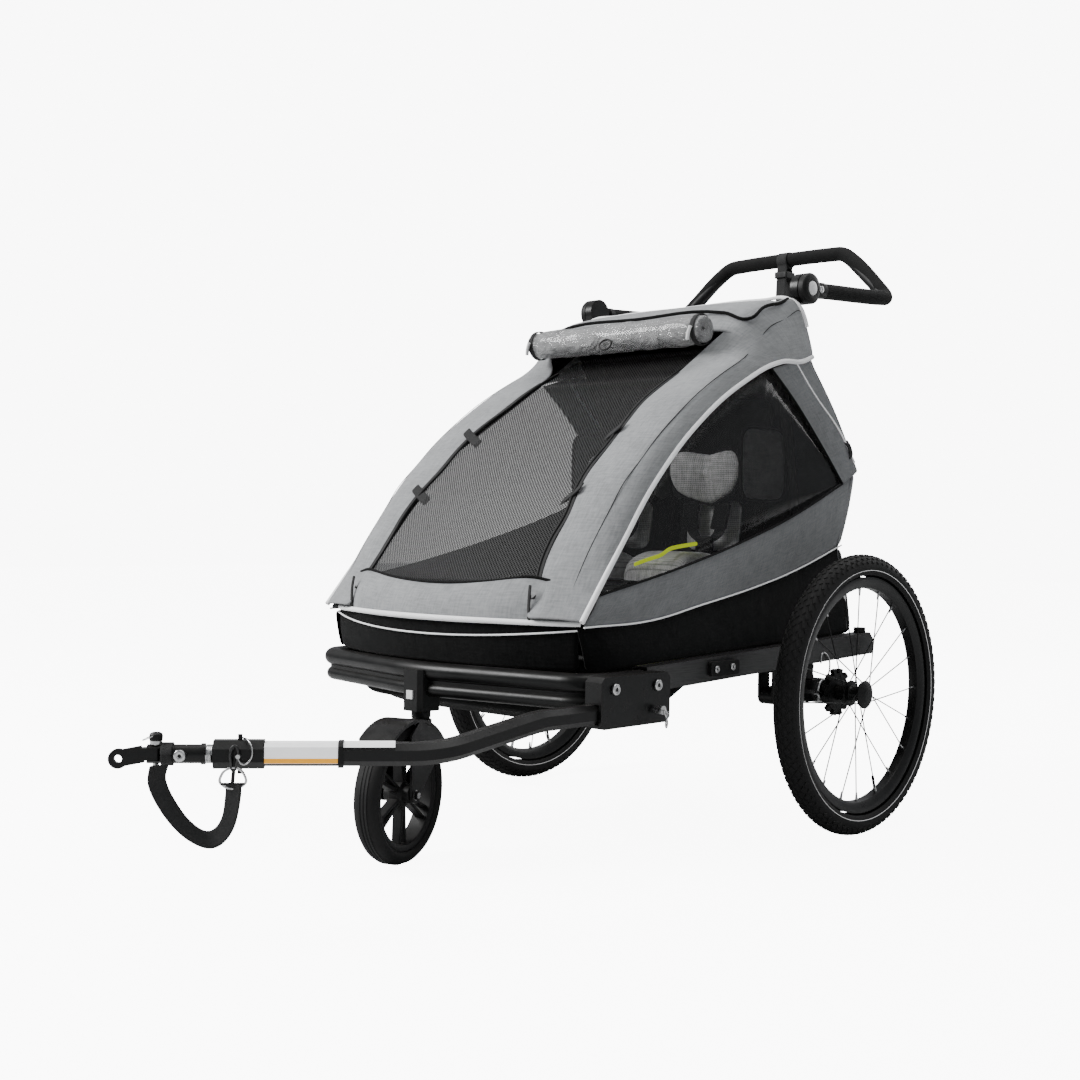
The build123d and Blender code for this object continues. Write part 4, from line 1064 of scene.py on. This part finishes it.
def makeSeats():
    lean = math.tan(math.radians(7.8))
    for side, name in ((1, "left"), (-1, "right")):
        middle = side * 107.5
        seat = padFrom(f"seatPad_{name}", roundedOutline(-76, 76, -226, -66, 22), 66, "seatNet", "chassis",
                       lambda u, v, w: (middle + u, v,
                                        434 + w - 0.03 * (v + 226) - 5 * math.exp(-(u / 42) ** 2)), 0.08,
                       edgeMat="seatEdge")
        padFrom(f"seatFront_{name}", roundedOutline(-94, 94, -298, -60, 20), 22, "seatEdge", "chassis",
                        lambda u, v, w: (middle + u, v, 414 + w), 0.2)
        back = padFrom(f"backPad_{name}", roundedOutline(-93, 93, 486, 792, 34), 16, "seatEdge", "chassis",
                       lambda u, v, w: (middle + u, -24 + (v - 486) * lean - w, v), 0.5, squashed=foldDown,
                       edgeMat="cord")
        padFrom(f"backFace_{name}", roundedOutline(-62, 62, 500, 596, 22), 6, "seatNet", "chassis",
                       lambda u, v, w: (middle + u, -46 + (v - 486) * lean - w, v), 0.4, squashed=foldDown)
        head = padFrom(f"headPad_{name}", headOutline(82, 588, 680, 0.24), 15, "seatNet", "chassis",
                       lambda u, v, w: (middle + u, -52 - 0.2 * abs(u) - w + 6 * math.exp(-(u / 12) ** 2), v),
                       0.3,
                       squashed=foldDown, edgeMat="seatEdge")
        for wing in (-1, 1):
            inner = wing * side < 0
            reach = (-66, -14) if inner else (-92, 44)
            padFrom(f"headBolster_{name}_{'in' if inner else 'out'}", roundedOutline(*reach, 597, 728, 26),
                    11,
                              "bolster", "chassis", lambda u, v,
                    w: (middle + wing * ((84 if inner else 98) + w), u, v), 0.3,
                              squashed=foldDown, edgeMat="cord")
        if side == 1:
            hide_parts("seat_cushions")
            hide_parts("backrests")
            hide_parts("headrests")
        for k, x in enumerate((middle - 36, middle + 36)):
            belt = strap(f"shoulderBelt_{name}_{k}", [(x, -40, 600), (x, -56, 590),
                                                      (x * 0.97 + middle * 0.03, -62, 560),
                                                      (x * 0.8 + middle * 0.2, -64, 532),
                                                     (middle, -66, 512)], (1, 0, 0), 24, "webbing", 2.0)
            settle(belt)
            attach(belt, "chassis")
            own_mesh(belt)
            if side == 1 and k == 0:
                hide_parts("harnesses")
            pad = strap(f"beltPad_{name}_{k}", [(x, -58, 588), (x * 0.98 + middle * 0.02, -66, 562),
                                                (x * 0.88 + middle * 0.12, -68, 540)], (1, 0, 0), 34,
                        "seatEdge", 6, 12, 2)
            settle(pad)
            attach(pad, "chassis")
            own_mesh(pad)
        crotch = strap(f"crotchBelt_{name}", [(middle, -66, 505), (middle, -74, 486), (middle, -100, 470),
                                              (middle, -140, 466)], (1, 0, 0), 26, "webbing", 2.0)
        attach(crotch, "chassis")
        buckle = boxes(f"buckle_{name}", [((middle - 18, -74, 497), (middle + 18, -62, 527)),
                                          ((middle - 10, -77, 503), (middle + 10, -72, 515))], "plastic", 3)
        settle(buckle)
        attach(buckle, "chassis")
        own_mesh(buckle)
    ribbon = strap("neonStrap", [(74, -234, 474), (104, -232, 484), (134, -229, 493), (142, -212, 505),
                                 (150, -146, 514)], (0.3, -0.5, 0.8), 8, "neon", 1.4)
    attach(ribbon, "chassis")


makeRoll()
makeSeats()
print("roll and seats made")
def axleMatrix(x, y, z, turn=0.0):  # local Z lies along +X
    return Matrix.Translation(at(x, y, z)) @ Matrix.Rotation(turn, 4, "Z") @ Matrix.Rotation(math.radians(90),
            4, "Y")


wheel = {"x": 405, "z": 250, "middle": 226.5, "section": 23.5, "blocks": 88}


def makeTyre(side, sign):
    s = wheel
    body, place = f"wheel_{side}", axleMatrix(sign * s["x"], 0, s["z"])
    outer = []
    for k in range(15):
        a = math.radians(-128 + 256 * k / 14)
        r = s["section"] - 1.6
        outer.append((s["middle"] + r * math.cos(a), -r * math.sin(a)))
    inner = [(s["middle"] - 12.5, -15.0), (s["middle"] - 6, -14.6), (s["middle"] + 14, -8),
             (s["middle"] + 16, 0), (s["middle"] + 14, 8),
             (s["middle"] - 6, 14.6), (s["middle"] - 12.5, 15.0)]
    casing = spun(f"casing_{side}", outer + inner + [outer[0]], "tyre", place, 96)
    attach(casing, body)
    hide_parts(f"tyre_{side}")
    bm = bmesh.new()
    rows = [(0, 4.0, 0.0), (21, 4.0, 0.5), (-21, 4.0, 0.5), (42, 3.8, 0.0), (-42, 3.8, 0.0), (62, 3.4, 0.5),
            (-62, 3.4, 0.5)]
    r = s["section"]
    for tilt, half, phase in rows:
        a = math.radians(tilt)
        for k in range(s["blocks"]):
            b = math.tau * (k + phase) / s["blocks"]
            reach = half * 2.1 if abs(tilt) < 60 else half * 1.5
            corners = []
            for du, dv in ((-1, 0), (-0.25, -1), (1, 0), (0.25, 1)):
                for lift, share in ((-1.8, 1.0), (-0.1, 0.86)):
                    av = a + math.radians(dv * 11.5 * share)
                    bv = b + du * share * reach / 250
                    rr = s["middle"] + (r + lift) * math.cos(av)
                    corners.append(bm.verts.new((rr * math.cos(bv) / 1000, rr * math.sin(bv) / 1000,
                                                 (r + lift) * math.sin(av) / 1000)))
            low, high = corners[0::2], corners[1::2]
            bm.faces.new(high)
            for i in range(4):
                j = (i + 1) % 4
                bm.faces.new((low[i], low[j], high[j], high[i]))
    mesh = bpy.data.meshes.new(f"tread_{side}")
    bm.to_mesh(mesh)
    bm.free()
    mesh.transform(place)
    tread = addObject(f"tread_{side}", mesh, "tyre")
    recalculate(tread)
    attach(tread, body)
    for face, way in (("outer", 1), ("inner", -1)):
        band = [(s["middle"] - 4.6, way * 21.2), (s["middle"] - 6.6, way * 20.6),
                (s["middle"] - 6.6, way * 19.8), (s["middle"] - 4.6, way * 20.2),
                (s["middle"] - 4.6, way * 21.2)]
        stripe = spun(f"stripe_{face}_{side}", band if way > 0 else band[::-1], "reflector", place, 96)
        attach(stripe, body)
    rimSize = {"lip": 209, "bed": 190}
    section = [(rimSize["lip"], -12), (rimSize["lip"] + 1, -14.2), (rimSize["lip"] - 2, -14.6),
               (rimSize["bed"] + 8, -13.4), (rimSize["bed"], -9), (rimSize["bed"] - 1, 0),
               (rimSize["bed"], 9), (rimSize["bed"] + 8, 13.4), (rimSize["lip"] - 2, 14.6),
               (rimSize["lip"] + 1, 14.2), (rimSize["lip"], 12), (rimSize["bed"] + 10, 10.6),
               (rimSize["bed"] + 3, 7), (rimSize["bed"] + 3, -7), (rimSize["bed"] + 10, -10.6),
               (rimSize["lip"], -12)]
    rim = spun(f"rimRing_{side}", section, "paint", place, 96, 0.5)
    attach(rim, body)
    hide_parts(f"rim_{side}")
    bm = bmesh.new()
    for k in range(20):
        a = math.tau * k / 20
        made = bmesh.ops.create_cone(bm, segments=8, radius1=0.0028, radius2=0.0017, depth=0.014,
                                     cap_ends=True)["verts"]
        seat = Matrix.Translation((0.002 if k % 2 else -0.002, 0, 0.183))
        turn = Matrix.Rotation(a, 4, "X") @ seat @ Matrix.Rotation(math.pi, 4, "X")
        bmesh.ops.transform(bm, matrix=Matrix.Translation(at(sign * s["x"], 0, s["z"])) @ turn, verts=made)
    mesh = bpy.data.meshes.new(f"nipples_{side}")
    bm.to_mesh(mesh)
    bm.free()
    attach(addObject(f"nipples_{side}", mesh, "steel"), body)
    valve = tubeCurve(f"valve_{side}", [(sign * s["x"], 60, 250 - 181), (sign * s["x"], 55, 250 - 165),
                                        (sign * s["x"], 51, 250 - 152)], 2.6, "plastic",
                      sides=3)
    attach(valve, body)


def makeHub(side, sign):
    place = Matrix.Diagonal((sign, 1, 1, 1)) @ axleMatrix(wheel["x"], 0, wheel["z"])
    shell = [(6.1, 11), (22, 11), (23, 10.4), (23, 7.6), (21, 7), (15, 5.6), (13.4, 0), (13.4, -10),
             (15, -13.6), (21, -15), (23, -15.6),
             (23, -18.4), (21.6, -19), (15.5, -19.6), (14, -24), (14, -58), (12.5, -63), (6.1, -63)]
    hub = spun(f"hubShell_{side}", shell, "paint", place, 40, 0.4)
    dome = [(0, 18.8), (6, 18.7), (11, 18.3), (12, 17.4), (14, 17.2), (20, 15.4), (24, 13.6), (25, 12.6),
            (25, 11.4), (24, 11.2), (0, 11.2)]
    cap = spun(f"hubCap_{side}", dome, "plastic", place, 40)
    for one in (hub, cap):
        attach(one, f"wheel_{side}")
    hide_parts(f"hub_{side}")
    ring = spun(f"axleCollar_{side}", [(21, -70), (22.5, -72), (22.5, -98), (21, -100), (7, -100), (7, -99),
                                       (7, -70), (21, -70)],
                "steel", place, 40, 0.6)
    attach(ring, f"suspension_{side}")


for sideName, sideSign in (("left", 1), ("right", -1)):
    makeTyre(sideName, sideSign)
    makeHub(sideName, sideSign)
print("wheels made")


swivel = {"y": -683, "lead": 65, "turn": math.radians(18), "z": 111}


def casterMatrix():
    return (Matrix.Translation(at(0, swivel["y"], swivel["z"])) @ Matrix.Rotation(swivel["turn"], 4, "Z")
            @ Matrix.Translation((0, -swivel["lead"] / 1000, 0)) @ Matrix.Rotation(math.radians(90), 4, "Y"))


def makeCaster():
    place = casterMatrix()
    ring = [(111, 0), (110.6, 8), (108.5, 15), (103, 20.5), (97, 21.6), (92, 19), (90.4, 15), (90.4, -15),
            (92, -19), (97, -21.6),
            (103, -20.5), (108.5, -15), (110.6, -8), (111, 0)]
    tyre = spun("casterTyre", ring, "tyre", place, 96)
    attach(tyre, "caster_wheel")
    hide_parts("caster_tyre")
    for k, along in enumerate((-6, 0, 6)):  # grooves left as raised ribs round the tread
        rib = spun(f"casterRib{k}", [(111.6, along + 1.6), (111.6, along - 1.6), (110.2, along - 2.2),
                                     (110.2, along + 2.2), (111.6, along + 1.6)], "tyre", place, 96)
        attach(rib, "caster_wheel")
    band = [(90.2, 16), (90.2, -16), (87, -17), (80, -15), (79, -13), (79, 13), (80, 15), (87, 17),
            (90.2, 16)]
    rim = spun("casterRimBand", band, "plastic", place, 72, 0.8)
    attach(rim, "caster_wheel")
    hub = spun("casterHub", [(4.2, 24), (11, 24), (13.5, 22), (14.5, 12), (20, 9), (20, -9), (14.5, -12),
                             (13.5, -22), (11, -24), (4.2, -24)], "plastic", place, 40, 0.6)
    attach(hub, "caster_wheel")
    bars = []
    for k in range(6):
        for way in (-1, 1):
            turn = Matrix.Rotation(math.tau * k / 6 + way * 0.11, 4, "Z")
            bars.append(turn)
    bm = bmesh.new()
    for turn in bars:
        made = bmesh.ops.create_cube(bm, size=1)["verts"]
        for v in made:
            thin = 0.82 if v.co.x > 0 else 1.0
            v.co = Vector((0.0165 + (v.co.x + 0.5) * 0.064, v.co.y * 0.0062 * thin, v.co.z * 0.019 * thin))
        bmesh.ops.transform(bm, matrix=turn, verts=made)
    mesh = bpy.data.meshes.new("casterSpokes")
    bm.to_mesh(mesh)
    bm.free()
    mesh.transform(place)
    spokes = addObject("casterSpokes", mesh, "plastic")
    modify(spokes, "BEVEL", width=0.0016, segments=2)
    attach(spokes, "caster_wheel")
    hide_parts("caster_rim")
    for side, along in (("left", 1), ("right", -1)):
        nut = spun(f"casterNut_{side}", [(0, 36), (5.4, 36), (6.4, 35), (6.4, 31.2), (9, 31.1), (9, 30.9),
                                         (0, 30.9)], "steel",
                   place @ Matrix.Diagonal((1, 1, along, 1)), 6 if side == "left" else 6, 0.3)
        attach(nut, "caster_fork")
    stem = Matrix.Translation(at(0, swivel["y"], 0))
    washer = spun("stemWasher", [(6.2, 223.6), (17, 223.6), (17.8, 222.6), (17.8, 221.8), (6.2, 221.8)],
                  "steel", stem, 48)
    collar = spun("stemCollar", [(6.2, 237.5), (15, 237.5), (16, 236), (16, 227), (15, 225.5), (6.2, 225)],
                  "plastic", stem, 48)
    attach(washer, "caster_fork")
    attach(collar, "chassis")


makeCaster()

handlePath = [(262, 70, 992), (262, 300, 1007), (258, 318, 1011), (236, 328, 1034), (160, 343, 1104),
              (140, 346, 1115), (118, 346, 1117)]
hinge = {"x": 262, "y": 27, "z": 990, "radius": 29}


def makeHandle():
    route = list(handlePath) + [(-x, y, z) for x, y, z in reversed(handlePath)]
    grip = tubeCurve("foamGrip", route, 14.8, "foam", sides=8)
    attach(grip, "handle")
    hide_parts("handle_grip")
    for side, sign in (("left", 1), ("right", -1)):
        flip = Matrix.Diagonal((sign, 1, 1, 1))
        place = flip @ axleMatrix(hinge["x"], hinge["y"], hinge["z"])
        drum = [(0, -15.8), (25, -15.8), (28, -14.5), (29, -12), (29, -4), (28, -2.5), (28, -0.4),
                (0, -0.4)][::-1]
        fixed = spun(f"hingeDrum_{side}", drum, "plastic", place, 56)
        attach(fixed, "upper_frame")
        face = [(14.4, 16), (17, 16.4), (24, 15.6), (27.6, 13.6), (29, 11), (29, 2.4), (28, 0.6), (14.4, 0.6)]
        moving = spun(f"hingeFace_{side}", face, "plastic", place, 56)
        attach(moving, "handle")
        button = spun(f"hingeButton_{side}", [(0, 18.4), (8, 18.2), (12.4, 17), (13.8, 15), (13.8, 9.6),
                                              (0, 9.6)], "white", place, 48)
        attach(button, f"handle_button_{side}")
        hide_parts(f"handle_button_{side}")
        neck = boxes(f"hingeNeck_{side}", [((hinge["x"] + 1, hinge["y"] + 18, hinge["z"] - 13),
                                            (hinge["x"] + 14, 78, hinge["z"] + 15))], "plastic", 4,
                     flip @ Matrix.Translation((0, axleY, 0)))
        recalculate(neck)
        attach(neck, "handle")
        collar = tubeCurve(f"gripCollar_{side}", [(sign * 262, 66, 992), (sign * 262, 80, 993)], 15.6,
                           "plastic", sides=6)
        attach(collar, "handle")
        screw = spun(f"neckScrew_{side}", [(1.6, 15.0), (2.2, 17), (6.4, 17), (7, 16), (7, 13.8), (0, 13.8)],
                     "steel",
                     flip @ axleMatrix(hinge["x"], 56, hinge["z"] + 1), 24)
        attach(screw, "handle")
        if sign > 0:
            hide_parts("hinge_arms")
    wrap = [(0, 346 + 16.6 * math.sin(a),
             1117 + 16.6 * math.cos(a)) for a in [math.tau * k / 16 for k in range(17)]]
    loop = strap("wristLoop", wrap, (1, 0, 0), 24, "webbing", 2.2, 40)
    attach(loop, "handle")
    tail = strap("wristTail", [(0, 334, 1106), (0, 331, 1075), (0, 329, 1030), (0, 331, 985), (0, 343, 963),
                               (0, 354, 985), (0, 357, 1030),
                               (0, 357, 1075), (0, 352, 1104)], (1, 0, 0), 24, "webbing", 2.0, 60)
    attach(tail, "handle")
    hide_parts("wrist_strap")
    slide = boxes("wristSlide", [((-15, 326, 1078), (15, 360, 1092))], "plastic", 2)
    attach(slide, "handle")


makeHandle()
print("front wheel and handle made")

barEnd = at(150, -1183, 235)
# local -Y points along the bar
hitchTurn = Matrix.Translation(barEnd) @ Matrix.Rotation(math.atan2(-196, 223), 4, "Z")


def hitchPoint(x, y, z):
    p = hitchTurn @ Vector((x / 1000, y / 1000, z / 1000))
    return (p.x * 1000, (p.y - axleY) * 1000, p.z * 1000)


def octagonSleeve(name, y0, y1, size, mat, body, corner=0.3, faces=range(8)):
    # a band round the eight-sided bar between two places along it
    half, cut = size / 2, size * corner / 2
    ring = [(half, half - cut), (half - cut, half), (cut - half, half), (-half, half - cut),
            (-half, cut - half), (cut - half, -half),
            (half - cut, -half), (half, cut - half)]
    bm = bmesh.new()
    first = [bm.verts.new(hitchTurn @ Vector((x / 1000, y0 / 1000, z / 1000))) for x, z in ring]
    last = [bm.verts.new(hitchTurn @ Vector((x / 1000, y1 / 1000, z / 1000))) for x, z in ring]
    for k in faces:
        bm.faces.new((first[k], first[(k + 1) % 8], last[(k + 1) % 8], last[k]))
    mesh = bpy.data.meshes.new(name)
    bm.to_mesh(mesh)
    bm.free()
    obj = addObject(name, mesh, mat)
    modify(obj, "SOLIDIFY", thickness=0.0006, offset=0)
    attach(obj, body)
    return obj


def makeHitch():
    octagonSleeve("whiteBand", 67, 163, 31.0, "reflector", "chassis", faces=(7, 0, 1, 2, 3))
    octagonSleeve("barRing", 163, 170, 33.5, "plastic", "chassis")
    octagonSleeve("whiteBandRear", 170, 238, 31.0, "reflector", "chassis", faces=(0, 1, 2))
    amber = boxes("amberStrip", [((15.3, 67, -10.5), (15.9, 163, -4)), ((-15.9, 67, -10.5),
            (-15.3, 163, -4))], "amber", 0.1, hitchTurn)
    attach(amber, "chassis")
    turns = []
    for k in range(49):
        a = math.tau * k / 12
        turns.append(hitchPoint(11.2 * math.cos(a), -1.6 - 8.0 * k / 48, 11.2 * math.sin(a)))
    coil = tubeCurve("hitchCoil", turns, 1.35, "steel", sides=3)
    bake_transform(coil)
    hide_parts("hitch_spring")
    bolt = spun("bolt_side", [(2.4, 19.5), (4, 20.5), (7, 20.5), (8, 19.2), (8, 12.8), (0, 12.8)], "steel",
                hitchTurn @ Matrix.Translation((0, -0.042, 0)) @ Matrix.Rotation(math.radians(90), 4, "Y"),
                28)
    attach(bolt, "coupling")
    knob = spun("pinKnob", [(0, 29), (5, 28.6), (8, 27), (9, 24), (8.6, 18), (7, 16.4), (6, 15.6), (0, 15.6)],
                "plastic",
                hitchTurn @ Matrix.Translation((0, -0.075, 0)), 32)
    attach(knob, "lock_pin")
    ringPoints = [hitchPoint(9 * math.cos(a), -75 + 9 * math.sin(a) - 8,
                             22 + 4 * math.sin(a)) for a in [math.tau * k / 12 for k in range(12)]]
    ring = tubeCurve("pinRing", ringPoints, 0.9, "steel", cyclic=True, sides=2)
    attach(ring, "lock_pin")
    line = [(17, -68, -12), (20, -70, -34), (20.5, -56, -64), (20.5, -34, -92), (20.5, -10, -108),
            (20.5, 8, -106), (20.5, 22, -86), (21, 28, -52), (21, 28, -36)]
    hang = strap("safetyWebbing", [hitchPoint(*p) for p in line],
                 [hitchTurn.to_3x3() @ Vector(v) for v in ((0.4, -0.9, 0), (0.5, -0.8, -0.2),
                                                           (0.6, -0.65, -0.4), (0.6, -0.5, -0.6),
                                                           (0.5, -0.1, -0.8),
                                                          (0.5, 0.2, -0.8), (0.5, 0.6, -0.5), (0.5, 0.8, 0),
                                                           (0.5, 0.85, 0))], 25, "webbing", 2.0, 70)
    settle(hang)
    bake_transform(hang)
    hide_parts("safety_strap")
    circle = [math.tau * k / 16 for k in range(17)]
    wrap = strap("strapWrap", [hitchPoint(14.4 * math.cos(a), -60, 14.4 * math.sin(a)) for a in circle],
                 hitchTurn.to_3x3() @ Vector((0, 1, 0)), 15, "webbing", 2.0, 40)
    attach(wrap, "coupling")
    dee = tubeCurve("strapRing", [hitchPoint(x, y, z) for x, y, z in ((21, 12, -36), (21, 43, -36),
            (22, 42, -24), (23, 34, -16), (23, 22, -16), (22, 13, -24))],
                    1.8, "steel", cyclic=True, sides=3)
    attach(dee, "chassis")
    snap = tubeCurve("snapHook", [hitchPoint(x, y, z) for x, y, z in ((23, 28, -18), (24, 32, -8),
            (25, 34, 6), (25, 30, 14), (25, 25, 8), (24, 25, -8))],
                     1.9, "darkSteel", cyclic=True, sides=3)
    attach(snap, "chassis")
    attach(tubeCurve("crossPin", [hitchPoint(-27, 34, 0), hitchPoint(27, 34, 0)], 3.0, "steel", sides=4,
                      smooth=False), "chassis")
    clip = tubeCurve("crossClip", [hitchPoint(x, y, z) for x, y, z in ((25, 34, -3), (27, 40, -10),
            (27, 50, -4), (25, 52, 10), (16, 46, 20), (0, 38, 21), (-16, 34, 20))],
                     1.0, "steel", sides=2)
    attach(clip, "chassis")


makeHitch()


def makeFittings():
    for side, sign in (("left", 1), ("right", -1)):
        flip = Matrix.Diagonal((sign, 1, 1, 1))
        for k, y in enumerate((-333, -289)):
            z = 300 + 0.04 * (y + 560)
            screw = spun(f"plateScrew{k}_{side}", [(1.8, 22.2), (2.6, 25.2), (5, 25.2), (6, 24.4), (6, 22.0),
                                                   (0, 22.0)], "steel",
                         flip @ axleMatrix(315, y, z), 24)
            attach(screw, "chassis")
        pin = spun(f"pivotBolt_{side}", [(2, 9.6), (3, 11.4), (6.4, 11.4), (7.4, 10.4), (7.4, 4.6), (0, 4.6)],
                   "darkSteel", flip @ axleMatrix(327, -145, 250), 6)
        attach(pin, "chassis")
        wire = tubeCurve(f"axleClip_{side}", [(sign * x, y, z) for x, y,
                                              z in ((331, 8, 268), (333, 16, 288), (333, 10, 312),
                                                    (331, -4, 318), (331, -10, 300))],
                         1.5, "steel", sides=2)
        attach(wire, "chassis")
    for k, y in enumerate((-625, -525)):
        screw = spun(f"bracketScrew{k}", [(2.2, 51.4), (3.4, 56.6), (7.4, 56.6), (8.8, 55.4), (8.8, 51.2),
                                          (0, 51.2)], "steel", axleMatrix(315, y, 299), 28)
        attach(screw, "chassis")
    pull = tubeCurve("pinPull", [(386, -530, 262), (392, -530, 256), (393, -536, 244), (390, -530, 236),
                                 (387, -524, 244), (386, -528, 256)], 1.4, "steel",
                     cyclic=True, sides=2)
    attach(pull, "drawbar_pin")


makeFittings()


def makeRubber(side):  # the rubber block over each suspension arm, waisted
    low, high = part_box(f"suspension_spring_{side}")
    middle = [(a + b) / 2 for a, b in zip(low, high)]
    half = (high[2] - low[2]) / 2 * 1000
    outline = [(0, half), (9, half), (10.6, half - 1.5), (11.2, half - 5), (9.4, 0), (11.2, 5 - half),
               (10.6, 1.5 - half), (9, -half), (0, -half)]
    block = spun(f"rubberBlock_{side}", outline, "elastomer", Matrix.Translation(middle), 40)
    settle(block)
    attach(block, "chassis")
    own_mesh(block)
    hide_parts(f"suspension_spring_{side}")


for sideName in ("left", "right"):
    makeRubber(sideName)
print("hitch and fittings made")
dress("rail", "side_rails")
dress("bumper", "front_bumper")
dress("paint", "cross_tubes", "drawbar", "drawbar_bracket", "hitch_sleeve", "caster_fork", "frame_brackets",
      "coupling_barrel",
      "hitch_eye", "rim_left", "rim_right", "suspension_arm_left", "suspension_arm_right", "hinge_housings",
      "hinge_arms")
dress("plastic", "chassis_fittings", "caster_block", "brake_pedal", "floor_pan", "hub_left", "hub_right",
      "brake_disc_left",
      "brake_disc_right", "caster_rim")
dress("matteTube", "hoops", "rear_frame", "handle_tube")
dress("steel", "brake_pin_left", "brake_pin_right", "drawbar_pin", "lock_pin")
dress("matteTube", "spokes_left", "spokes_right")
dress("white", "caster_button", "handle_button_left", "handle_button_right")
dress("foam", "handle_grip")
dress("tyre", "tyre_left", "tyre_right", "caster_tyre")

print("finished")
